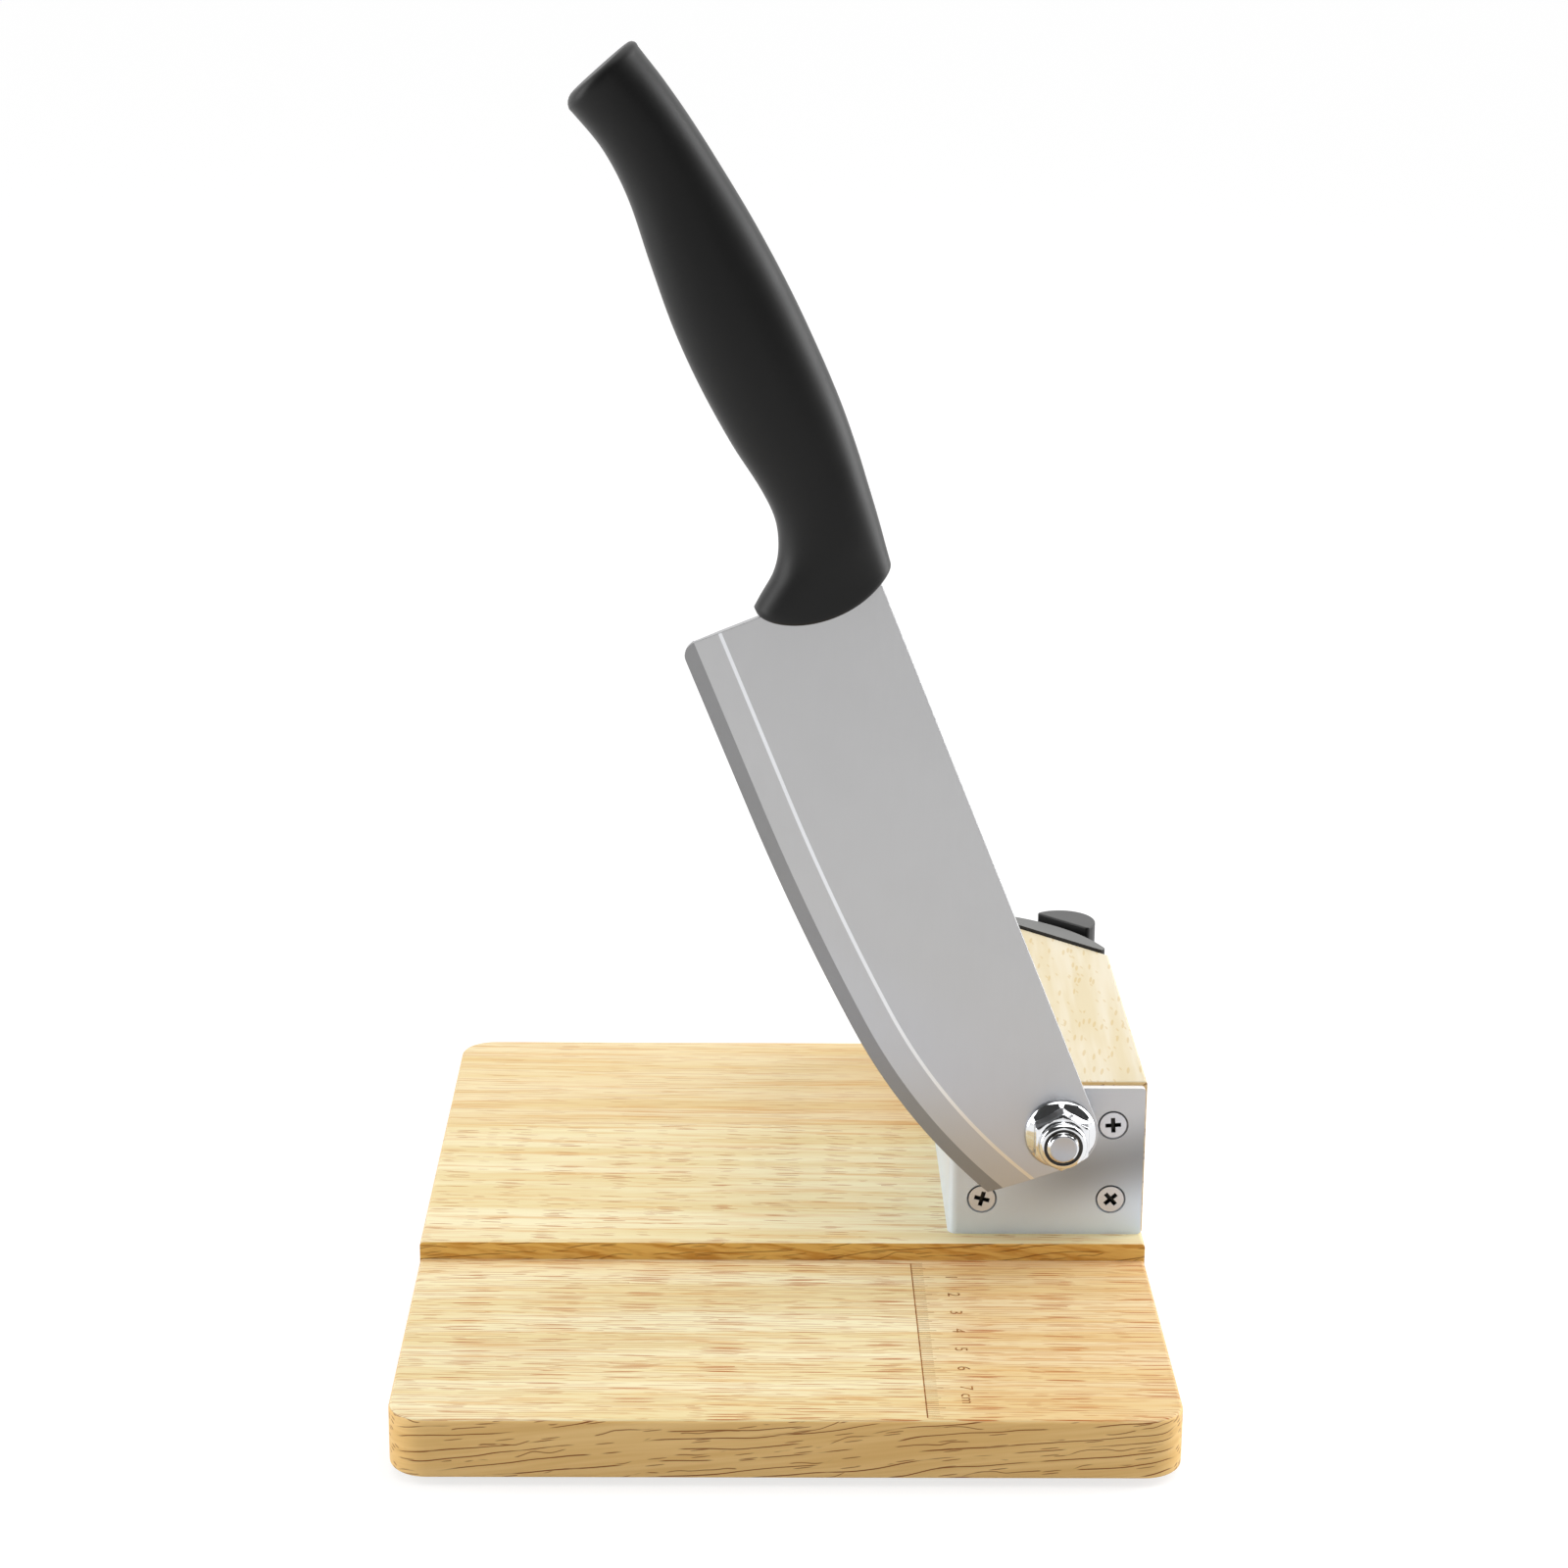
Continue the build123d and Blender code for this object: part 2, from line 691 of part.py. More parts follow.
# Back plate of the sharpener, crowned on the outside, with a web below the slot
half_length = sharpener_length / 2
with BuildPart() as sharpener_backplate:
    with BuildSketch(cut_plane) as plate_section:
        with BuildLine():
            Polyline(
                (-half_length, sharpener_end_depth),
                (-half_length, 0),
                (half_length, 0),
                (half_length, sharpener_end_depth),
            )
            ThreePointArc(
                (half_length, sharpener_end_depth),
                (0, sharpener_crown),
                (-half_length, sharpener_end_depth),
            )
        make_face()
        outer_corners = plate_section.vertices().filter_by(lambda corner: corner.Y > sharpener_end_depth / 2)
        fillet(outer_corners, radius=sharpener_end_round)
    extrude(amount=block_height + sharpener_lip)
    with BuildSketch(cut_plane):
        with Locations((-web_width / 2, 0)):
            Rectangle(web_width, outer_wall_face, align=Align.MIN)
    extrude(amount=slot_floor)
    add(insert_pockets.part, mode=Mode.SUBTRACT)
    with Locations(*sharpener_screws.values()):
        add(deep_seat, mode=Mode.SUBTRACT)
    with Locations(wall_screw_place):
        add(wall_screw_seat_shape, mode=Mode.SUBTRACT)
sharpener_backplate.part.label = "sharpener_backplate"
export_step(sharpener_backplate.part, "parts/sharpener_backplate.step")

# Outer wall of the sharpener, a half round column that stands up beyond the slot
with BuildPart() as sharpener_outer_wall:
    with BuildSketch(cut_plane) as wall_section:
        with BuildLine():
            Line((-outer_wall_radius, outer_wall_face), (outer_wall_radius, outer_wall_face))
            ThreePointArc(
                (outer_wall_radius, outer_wall_face),
                (0, outer_wall_face + outer_wall_radius),
                (-outer_wall_radius, outer_wall_face),
            )
        make_face()
        fillet(wall_section.vertices(), radius=outer_wall_round)
    extrude(amount=block_height + outer_wall_rise)
    fillet(sharpener_outer_wall.faces().sort_by(Axis.Z)[-1].edges(), radius=outer_wall_round / 2)
    add(insert_pockets.part, mode=Mode.SUBTRACT)
    with Locations(wall_screw_place):
        add(wall_screw_seat_shape, mode=Mode.SUBTRACT)
sharpener_outer_wall.part.label = "sharpener_outer_wall"
export_step(sharpener_outer_wall.part, "parts/sharpener_outer_wall.step")
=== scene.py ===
import functools
import logging
import math
from collections.abc import Callable, Sequence
from dataclasses import dataclass
from enum import Enum

import bmesh
import bpy
from mathutils import Matrix, Vector


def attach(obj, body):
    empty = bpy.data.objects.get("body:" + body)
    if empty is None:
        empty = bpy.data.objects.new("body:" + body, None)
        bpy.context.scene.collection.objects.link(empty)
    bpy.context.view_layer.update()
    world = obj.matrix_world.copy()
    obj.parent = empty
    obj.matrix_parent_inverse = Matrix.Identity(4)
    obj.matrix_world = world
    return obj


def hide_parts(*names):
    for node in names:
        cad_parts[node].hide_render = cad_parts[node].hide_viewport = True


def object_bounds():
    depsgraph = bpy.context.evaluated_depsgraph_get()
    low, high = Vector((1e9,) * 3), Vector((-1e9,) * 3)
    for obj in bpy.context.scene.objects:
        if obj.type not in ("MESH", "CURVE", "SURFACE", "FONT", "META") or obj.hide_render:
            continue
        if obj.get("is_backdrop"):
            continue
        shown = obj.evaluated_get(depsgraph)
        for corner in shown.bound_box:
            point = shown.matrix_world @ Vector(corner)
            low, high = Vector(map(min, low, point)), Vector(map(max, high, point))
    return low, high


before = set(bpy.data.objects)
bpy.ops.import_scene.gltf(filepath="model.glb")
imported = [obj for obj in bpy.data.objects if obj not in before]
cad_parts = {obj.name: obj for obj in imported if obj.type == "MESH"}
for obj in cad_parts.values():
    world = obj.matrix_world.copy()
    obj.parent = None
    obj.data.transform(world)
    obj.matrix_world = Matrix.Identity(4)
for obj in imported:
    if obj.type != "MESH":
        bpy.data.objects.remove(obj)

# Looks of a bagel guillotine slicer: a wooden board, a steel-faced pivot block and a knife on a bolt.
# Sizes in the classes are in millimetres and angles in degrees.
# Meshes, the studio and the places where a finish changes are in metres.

MM = 0.001
OVERRUN = 1.0
SOFTENED_ANGLE = 35.0
FACE_WEIGHT = 80
CLOUD = (0.3, 0.7)
GRAIN_DEPTH = 9.0
SWAY_ASPECT = 4
SWAY_SPAN = 4
SWAY_SHIFT = (11, 7, 5)
STAND = "stand"
KNIFE = "knife"

log = logging.getLogger("slicer")

Colour = tuple[float, float, float]
Point = tuple[float, float, float]
Pair = tuple[float, float]
Socket = bpy.types.NodeSocket


def tone(red: int, green: int, blue: int) -> Colour:
    """Turns a screen's colour, from 0 to 255, into the linear colour that a shader takes."""
    shares = (value / 255 for value in (red, green, blue))
    return tuple(s / 12.92 if s <= 0.04045 else ((s + 0.055) / 1.055) ** 2.4 for s in shares)


class Channel(Enum):
    """Inputs of the surface shader that the finishes set."""

    COLOUR = "Base Color"
    METAL = "Metallic"
    ROUGH = "Roughness"
    SPECULAR = "Specular IOR Level"
    NORMAL = "Normal"
    SHEEN = "Sheen Weight"
    SHEEN_ROUGH = "Sheen Roughness"


class Surface:
    """Node tree of one material, built up step by step."""

    def __init__(self, name: str) -> None:
        """Makes a new material with its shader and the coordinates of the whole object.

        Args:
            name: the material's name.
        """
        self.material = bpy.data.materials.new(name)
        self.material.use_nodes = True
        self.tree = self.material.node_tree
        self.shader = next(n for n in self.tree.nodes if n.type == "BSDF_PRINCIPLED")
        self.place = self.tree.nodes.new("ShaderNodeTexCoord").outputs["Object"]

    def _feed(self, value: Socket | float | Sequence[float], target: Socket) -> None:
        """Links a socket, or sets a constant on the socket itself.

        Args:
            value: the socket or the constant.
            target: the socket that takes it.
        """
        if isinstance(value, Socket):
            self.tree.links.new(value, target)
        elif target.type == "RGBA":
            target.default_value = (*value, 1.0)
        else:
            target.default_value = value

    def set(self, channel: Channel, value: Socket | float | Colour) -> None:
        """Sets one input of the shader."""
        self._feed(value, self.shader.inputs[channel.value])

    def stretched(
        self, size: Point, turn: Point = (0, 0, 0), shift: Point = (0, 0, 0), base: Socket | None = None
    ) -> Socket:
        """Coordinates in which a feature of the given size in millimetres is one unit large.

        Args:
            size: length of a feature along each axis, in millimetres.
            turn: rotation of the features, in degrees.
            shift: offset in millimetres, which picks another part of the pattern.
            base: coordinates to start from, if not the object's own.

        Returns:
            The coordinates' socket.
        """
        node = self.tree.nodes.new("ShaderNodeMapping")
        node.vector_type = "TEXTURE"
        node.inputs["Scale"].default_value = [s * MM for s in size]
        node.inputs["Rotation"].default_value = [math.radians(a) for a in turn]
        node.inputs["Location"].default_value = [s * MM for s in shift]
        self.tree.links.new(self.place if base is None else base, node.inputs["Vector"])
        return node.outputs["Vector"]

    def grain(self, cut: "Cut") -> Socket:
        """Coordinates along and across the grain on one cut of the wood.

        Args:
            cut: which cut.

        Returns:
            The coordinates' socket.
        """
        along, across, depth, sway, length = cut.value
        size = [length / SWAY_ASPECT] * 3
        size[along] = length
        drift = self.drift(self.stretched(tuple(size), shift=SWAY_SHIFT), sway * SWAY_SPAN * MM, 1)
        swayed = self.maths("ADD", self.axis(across), drift)
        return self.joined(self.axis(along), swayed, self.axis(depth))

    def noise(self, where: Socket, detail: float = 2, rough: float = 0.5) -> Socket:
        """Smooth noise around 0.5, one unit large.

        Args:
            where: coordinates.
            detail: number of finer layers.
            rough: strength of the finer layers.

        Returns:
            The noise's socket.
        """
        node = self.tree.nodes.new("ShaderNodeTexNoise")
        for name, value in (("Scale", 1), ("Detail", detail), ("Roughness", rough), ("Distortion", 0)):
            node.inputs[name].default_value = value
        self.tree.links.new(where, node.inputs["Vector"])
        return node.outputs["Fac"]

    def drift(self, where: Socket, span: float, detail: float = 2) -> Socket:
        """Smooth noise around 0, with span as its whole range."""
        return self.times(self.maths("SUBTRACT", self.noise(where, detail), 0.5), span)

    def cells(self, where: Socket) -> tuple[Socket, Socket]:
        """Points scattered over a flat face, one to each unit cell.

        Args:
            where: coordinates.

        Returns:
            The distance to the nearest point, and that point's random number.
        """
        node = self.tree.nodes.new("ShaderNodeTexVoronoi")
        node.voronoi_dimensions = "2D"
        node.inputs["Scale"].default_value = 1
        self.tree.links.new(where, node.inputs["Vector"])
        split = self.tree.nodes.new("ShaderNodeSeparateColor")
        self.tree.links.new(node.outputs["Color"], split.inputs[0])
        return node.outputs["Distance"], split.outputs[0]

    def axis(self, index: int) -> Socket:
        """One coordinate of the object in metres, 0 for X, 1 for Y and 2 for Z."""
        return self.part(self.place, index)

    def part(self, where: Socket, index: int) -> Socket:
        """One part of some coordinates.

        Args:
            where: the coordinates.
            index: which part, 0 for the first.

        Returns:
            The part's socket.
        """
        node = self.tree.nodes.new("ShaderNodeSeparateXYZ")
        self.tree.links.new(where, node.inputs[0])
        return node.outputs[index]

    def joined(self, first: Socket | float, second: Socket | float, third: Socket | float) -> Socket:
        """Coordinates made of three values.

        Args:
            first, second, third: sockets or numbers.

        Returns:
            The coordinates' socket.
        """
        node = self.tree.nodes.new("ShaderNodeCombineXYZ")
        for value, target in zip((first, second, third), node.inputs):
            self._feed(value, target)
        return node.outputs[0]

    def facing(self, index: int) -> Socket:
        """One part of the surface's direction, 0 for X, 1 for Y and 2 for Z."""
        return self.part(self.tree.nodes.new("ShaderNodeTexCoord").outputs["Normal"], index)

    def maths(self, operation: str, first: Socket | float, second: Socket | float = 0.0) -> Socket:
        """Result of one sum on two values.

        Args:
            operation: the sum's name, such as MULTIPLY.
            first, second: sockets or numbers.

        Returns:
            The result's socket.
        """
        node = self.tree.nodes.new("ShaderNodeMath")
        node.operation = operation
        self._feed(first, node.inputs[0])
        self._feed(second, node.inputs[1])
        return node.outputs[0]

    def strongest(self, *values: Socket) -> Socket:
        """Largest of several values."""
        return functools.reduce(functools.partial(self.maths, "MAXIMUM"), values)

    def times(self, *values: Socket | float) -> Socket:
        """Product of several values."""
        return functools.reduce(functools.partial(self.maths, "MULTIPLY"), values)

    def away(self, value: Socket, centre: Socket | float) -> Socket:
        """Distance of a value from a centre."""
        return self.maths("ABSOLUTE", self.maths("SUBTRACT", value, centre))

    def square(self, index: int) -> Socket:
        """How squarely the surface faces an axis, from either side."""
        return self.maths("ABSOLUTE", self.facing(index))

    def along(self, direction: Point) -> Socket:
        """How far a point lies along a direction.

        Args:
            direction: the direction, of length 1.

        Returns:
            The distance's socket, in metres.
        """
        node = self.tree.nodes.new("ShaderNodeVectorMath")
        node.operation = "DOT_PRODUCT"
        node.inputs[1].default_value = direction
        self.tree.links.new(self.place, node.inputs[0])
        return node.outputs["Value"]

    def ramp(self, value: Socket, low: float, high: float, start: float = 0, end: float = 1) -> Socket:
        """Soft step from start to end while value goes from low to high.

        Args:
            value: the socket that is read.
            low, high: where the step begins and ends.
            start, end: what comes out below and above it.

        Returns:
            The step's socket.
        """
        node = self.tree.nodes.new("ShaderNodeMapRange")
        node.interpolation_type = "SMOOTHSTEP"
        for name, number in (("From Min", low), ("From Max", high), ("To Min", start), ("To Max", end)):
            node.inputs[name].default_value = number
        self.tree.links.new(value, node.inputs["Value"])
        return node.outputs["Result"]

    def mix(self, share: Socket | float, first: Socket | Colour, second: Socket | Colour) -> Socket:
        """Colour between two colours.

        Args:
            share: 0 for the first colour, 1 for the second.
            first, second: sockets or colours.

        Returns:
            The colour's socket.
        """
        node = self.tree.nodes.new("ShaderNodeMix")
        node.data_type = "RGBA"
        inputs = {socket.identifier: socket for socket in node.inputs}
        for name, value in (("Factor_Float", share), ("A_Color", first), ("B_Color", second)):
            self._feed(value, inputs[name])
        return next(socket for socket in node.outputs if socket.identifier == "Result_Color")

    def bump(self, height: Socket, depth: float) -> None:
        """Sets a fine relief on the surface.

        Args:
            height: the relief, from 0 to 1.
            depth: how deep it is, in millimetres.
        """
        node = self.tree.nodes.new("ShaderNodeBump")
        node.inputs["Strength"].default_value = 1
        node.inputs["Distance"].default_value = depth * MM
        self.tree.links.new(height, node.inputs["Height"])
        self.set(Channel.NORMAL, node.outputs["Normal"])


class Cut(Enum):
    """Faces of the wood: the axes along the grain, across it and out of the face, and how far it sways."""

    BOARD_TOP = (0, 1, 2, 0.5, 50)
    BOARD_FRONT = (0, 2, 1, 0.45, 70)
    BOARD_END = (1, 2, 0, 0.2, 30)
    BLOCK_TOP = (1, 0, 2, 0.6, 30)
    BLOCK_FLANK = (1, 2, 0, 0.5, 50)
    BLOCK_END = (0, 2, 1, 0.2, 30)


@dataclass(frozen=True)
class Streaks:
    """Smooth noise that is drawn out along the grain, and the limits between which it shows."""

    size: Point
    slant: float
    rough: float
    limits: Pair
    shift: Point = (0, 0, 0)
    detail: float = 3

    def value(self, surface: Surface, base: Socket) -> Socket:
        """Adds the noise, around 0.5, to a material whose grain has these coordinates."""
        where = surface.stretched(self.size, (0, 0, self.slant), self.shift, base)
        return surface.noise(where, self.detail, self.rough)

    def step(self, surface: Surface, base: Socket) -> Socket:
        """Adds the noise as a soft step from 0 to 1."""
        return surface.ramp(self.value(surface, base), *self.limits)


@dataclass(frozen=True)
class Pores:
    """One layer of short dark pores in wood."""

    length: float
    width: float
    every: Pair
    share: float
    slant: float
    shift: float
    patch: Pair
    crowding: Pair = (0.36, 0.64)
    sparse: float = 0.6
    dense: float = 1.4
    soft_edge: float = 0.75
    skew: float = 0.7

    def mask(self, surface: Surface, base: Socket) -> Socket:
        """Adds the layer to a material.

        Args:
            surface: the material.
            base: coordinates along and across the grain.

        Returns:
            A socket that is 1 inside a pore.
        """
        reach = self.length / self.every[0] / 2
        aspect = self.width / 2 / reach
        turn, shift = (0, 0, self.slant), (self.shift, self.shift * self.skew, 0)
        distance, number = surface.cells(surface.stretched((self.every[0], aspect, 1), turn, shift, base))
        crowd = surface.noise(surface.stretched((*self.patch, GRAIN_DEPTH), turn, shift, base))
        kept = self.share * aspect / self.every[1]
        limit = surface.ramp(crowd, *self.crowding, 1 - self.sparse * kept, 1 - self.dense * kept)
        chosen = surface.maths("GREATER_THAN", number, limit)
        return surface.times(chosen, surface.ramp(distance, reach * self.soft_edge, reach, 1, 0))


@dataclass(frozen=True)
class Vessels:
    """Long thin lines that run evenly along the grain, each broken into stretches."""

    spacing: float
    width: float
    length: float
    share: float
    rise: float
    wander: float
    shift: float
    fade: float = 0.06
    soft_edge: float = 0.6
    bend: Pair = (1.4, 5)
    bend_span: float = 6
    stray: float = 1.2
    seeds: Point = (7.3, 3.7, 5.0)
    rough: float = 0.6

    def mask(self, surface: Surface, base: Socket) -> Socket:
        """Adds the lines to a material.

        Args:
            surface: the material.
            base: coordinates along and across the grain.

        Returns:
            A socket that is 1 inside a line.
        """
        turned = surface.stretched((self.spacing,) * 3, (0, 0, self.rise), (self.shift, self.shift, 0), base)
        size = (self.length * self.bend[0], self.spacing * self.bend[1], GRAIN_DEPTH)
        bends = surface.drift(surface.stretched(size, base=base), self.wander * self.bend_span)
        across = surface.maths("ADD", surface.part(turned, 1), bends)
        number = surface.maths("FLOOR", across)
        along = surface.maths("DIVIDE", surface.part(turned, 0), self.length / self.spacing)
        first, second, third = self.seeds
        piece = surface.joined(along, surface.times(number, first), self.shift)
        broken = surface.noise(piece, 2, self.rough)
        line = surface.joined(self.shift, surface.times(number, second), third)
        offset = surface.drift(line, self.stray, 0)
        away = surface.away(surface.maths("FRACT", across), surface.maths("ADD", 0.5, offset))
        half = self.width / self.spacing / 2
        limit = 0.5 + (0.5 - self.share) * 0.5
        shown = surface.ramp(broken, limit, limit + self.fade)
        return surface.times(shown, surface.ramp(away, half * self.soft_edge, half, 1, 0))


Layers = tuple[tuple[Pores | Vessels, float], ...]
END_PORES = Pores(1.6, 0.5, (2.6, 1.5), 0.8, 25, 3, (14, 6))
WOOD_SPECULAR = 0.18
WOOD_RELIEF = 0.012
GRAIN_RELIEF = 0.3
TOP_BLEND = (0.55, 0.8)
END_BLEND = (0.45, 0.85)


def marks(surface: Surface, base: Socket, layers: Layers) -> Socket:
    """Adds layers of pores or lines to a material and gives the strongest mark at each point."""
    return surface.strongest(*(surface.times(layer.mask(surface, base), part) for layer, part in layers))


def finish_wood(s: Surface, side: Socket, top: Socket, rough: Socket, relief: Socket, pores: Socket) -> None:
    """Sets the colour, the gloss and the relief of a wooden piece.

    Args:
        s: the material.
        side, top: colours of its upright and its level faces.
        rough: roughness.
        relief: soft relief of the grain.
        pores: a socket that is 1 inside a pore.
    """
    s.set(Channel.COLOUR, s.mix(s.ramp(s.square(2), *TOP_BLEND), side, top))
    s.set(Channel.ROUGH, rough)
    s.set(Channel.SPECULAR, WOOD_SPECULAR)
    s.bump(s.maths("SUBTRACT", s.times(relief, GRAIN_RELIEF), pores), WOOD_RELIEF)


@dataclass(frozen=True)
class BoardWood:
    """Oiled rubberwood of the board, with its grain along X."""

    pale: Colour = tone(237, 226, 187)
    straw: Colour = tone(227, 208, 157)
    tan: Colour = tone(212, 156, 82)
    pore: Colour = tone(172, 92, 26)
    side_pale: Colour = tone(236, 198, 133)
    side_tan: Colour = tone(224, 182, 114)
    side_pore: Colour = tone(120, 56, 12)
    step_pale: Colour = tone(244, 200, 112)
    step_tan: Colour = tone(214, 156, 72)
    step_y: float = -27.0
    seam_y: float = 50.8
    joint: float = 0.2
    # Where the painted shade at the foot of the step fades in, in metres.
    near_step: Pair = (-0.040, -0.028)
    right_end: Pair = (0.024, 0.05)
    step_reach: Pair = (0.0008, 0.0012)
    step_facing: Pair = (-0.9, -0.5)
    seam_half: float = 0.0003
    seam_dark: float = 0.35
    streaks_tan: float = 0.5
    rear_tan: float = 0.2
    near_step_tan: float = 0.2
    right_tan: float = 0.34
    hair_dark: float = 0.3
    hair_on_ledge: Pair = (0.34, 0.5)
    hair_at_right: Pair = (0.9, 1.3)
    step_lines: float = 0.75
    end_dark: float = 0.6
    cloud: Point = (40, 6, 6)
    gloss: Pair = (0.46, 0.56)
    bands: Streaks = Streaks((160, 8, 9), -0.8, 0.6, (0.36, 0.64), (13, 5, 2))
    streaks: Streaks = Streaks((42, 1.7, 9), -1.5, 0.7, (0.47, 0.72), (3, 1, 7))
    hairs: Streaks = Streaks((17, 0.8, 9), -1.2, 0.75, (0.52, 0.7), (5, 2, 1))
    side_bands: Streaks = Streaks((70, 2.6, 30), 6, 0.65, (0.34, 0.66), (4, 1, 0))
    step_figure: Streaks = Streaks((16, 1.5, 30), -7, 0.7, (0.42, 0.64), (2, 3, 1))
    middle_marks: Layers = (
        (Pores(7, 0.46, (14, 3.4), 0.9, -3.0, 1, (60, 14)), 0.66),
        (Pores(3.5, 0.34, (9, 2.6), 0.8, -2.0, 4, (40, 9)), 0.46),
    )
    ledge_marks: Layers = (
        (Pores(11, 0.42, (20, 3.2), 0.9, -1.0, 9, (70, 10)), 0.86),
        (Pores(4, 0.34, (11, 2.6), 0.8, -1.4, 6, (50, 9)), 0.5),
        (Vessels(1.1, 0.36, 22, 0.6, -0.8, 0.2, 3), 0.46),
    )
    rear_marks: Layers = (
        (Vessels(1.6, 0.45, 26, 0.55, -0.8, 0.2, 8), 0.34),
        (Pores(6, 0.4, (16, 3.6), 0.9, -1.5, 3, (60, 12)), 0.36),
    )
    side_marks: Layers = (
        (Vessels(2.7, 0.33, 26, 0.62, 5.5, 0.3, 2), 0.9),
        (Vessels(3.9, 0.3, 12, 0.5, 6.5, 0.3, 9), 0.75),
        (Pores(5, 0.3, (11, 2.6), 0.8, 7, 5, (50, 9)), 0.7),
    )

    def _top(self, s: Surface) -> tuple[Socket, Socket]:
        """Colour of the upper faces, which differ from stave to stave.

        Args:
            s: the material.

        Returns:
            The colour, and a socket that is 1 inside a pore.
        """
        flat = s.grain(Cut.BOARD_TOP)
        across = s.axis(1)
        ledge = s.ramp(across, (self.step_y - self.joint) * MM, (self.step_y + self.joint) * MM, 1, 0)
        rear = s.ramp(across, (self.seam_y - self.joint) * MM, (self.seam_y + self.joint) * MM)
        middle = s.maths("SUBTRACT", s.maths("SUBTRACT", 1.0, ledge), rear)
        base = s.mix(self.bands.step(s, flat), self.pale, self.straw)
        base = s.mix(s.times(self.streaks.step(s, flat), self.streaks_tan), base, self.tan)
        base = s.mix(s.times(rear, self.rear_tan), base, self.tan)
        # Painted shade: the ledge turns tan towards the foot of the step.
        near_step = s.times(s.ramp(across, *self.near_step), ledge)
        right = s.times(s.ramp(s.axis(0), *self.right_end), ledge)
        tanned = s.maths("ADD", s.times(near_step, self.near_step_tan), s.times(right, self.right_tan))
        base = s.mix(tanned, base, self.tan)
        hair = self.hairs.step(s, flat)
        fewer, more = s.ramp(ledge, 0, 1, *self.hair_on_ledge), s.ramp(right, 0, 1, *self.hair_at_right)
        hair = s.times(hair, fewer, more)
        base = s.mix(hair, base, s.mix(self.hair_dark, self.tan, self.pore))
        staves = ((middle, self.middle_marks), (ledge, self.ledge_marks), (rear, self.rear_marks))
        pores = s.strongest(*(s.times(marks(s, flat, layers), stave) for stave, layers in staves))
        seam = s.ramp(s.away(across, self.seam_y * MM), 0, self.seam_half, self.seam_dark, 0)
        return s.mix(s.strongest(pores, seam), base, self.pore), pores

    def _side(self, s: Surface) -> Socket:
        """Colour of the front, the ends and the step.

        Args:
            s: the material.

        Returns:
            The colour.
        """
        front, end = s.grain(Cut.BOARD_FRONT), s.grain(Cut.BOARD_END)
        colour = s.mix(self.side_bands.step(s, front), self.side_pale, self.side_tan)
        at_end = s.ramp(s.square(0), *END_BLEND)
        from_step = s.away(s.axis(1), self.step_y * MM)
        turned = s.ramp(s.facing(1), *self.step_facing, 1, 0)
        at_step = s.times(s.ramp(from_step, *self.step_reach, 1, 0), turned)
        step = s.mix(self.step_figure.step(s, front), self.step_pale, self.step_tan)
        colour = s.mix(at_step, colour, step)
        lines = s.times(marks(s, front, self.side_marks), s.ramp(at_step, 0, 1, 1, self.step_lines))
        colour = s.mix(s.times(lines, s.ramp(at_end, 0, 1, 1, 0)), colour, self.side_pore)
        return s.mix(s.times(END_PORES.mask(s, end), at_end, self.end_dark), colour, self.side_pore)

    def build(self) -> bpy.types.Material:
        """Makes the material.

        Returns:
            The finished material.
        """
        s = Surface("board_wood")
        top, pores = self._top(s)
        cloud = s.noise(s.stretched(self.cloud))
        finish_wood(s, self._side(s), top, s.ramp(cloud, *CLOUD, *self.gloss), cloud, pores)
        return s.material


@dataclass(frozen=True)
class BlockWood:
    """Pale rubberwood of the pivot block, with its grain along Y."""

    pale: Colour = tone(225, 215, 192)
    cream: Colour = tone(218, 204, 171)
    fleck: Colour = tone(200, 168, 98)
    side: Colour = tone(234, 204, 150)
    side_tan: Colour = tone(216, 178, 118)
    side_pore: Colour = tone(140, 92, 44)
    side_dark: float = 0.7
    gloss: Pair = (0.48, 0.58)
    bands: Streaks = Streaks((80, 6, 9), 2, 0.6, (0.35, 0.65))
    streaks: Streaks = Streaks((60, 2.2, 30), 3, 0.65, (0.35, 0.68))
    flecks: Layers = (
        (Pores(5, 0.8, (11, 4.6), 0.9, 8, 2, (30, 12)), 0.42),
        (Pores(2.6, 0.6, (7, 3.6), 0.8, -10, 5, (20, 10)), 0.36),
    )
    flank_lines: Vessels = Vessels(2.6, 0.4, 20, 0.5, 2.5, 0.3, 4)

    def build(self) -> bpy.types.Material:
        """Makes the material.

        Returns:
            The finished material.
        """
        s = Surface("block_wood")
        flat, flank, end = (s.grain(cut) for cut in (Cut.BLOCK_TOP, Cut.BLOCK_FLANK, Cut.BLOCK_END))
        bands, streaks = self.bands.value(s, flat), self.streaks.value(s, flank)
        flecks = marks(s, flat, self.flecks)
        top = s.mix(flecks, s.mix(s.ramp(bands, *self.bands.limits), self.pale, self.cream), self.fleck)
        at_end = s.ramp(s.square(1), *END_BLEND)
        lines = s.times(self.flank_lines.mask(s, flank), s.ramp(at_end, 0, 1, 1, 0))
        dots = s.times(END_PORES.mask(s, end), at_end)
        side = s.mix(s.ramp(streaks, *self.streaks.limits), self.side, self.side_tan)
        side = s.mix(s.times(s.strongest(lines, dots), self.side_dark), side, self.side_pore)
        finish_wood(s, side, top, s.ramp(bands, *CLOUD, *self.gloss), streaks, flecks)
        return s.material


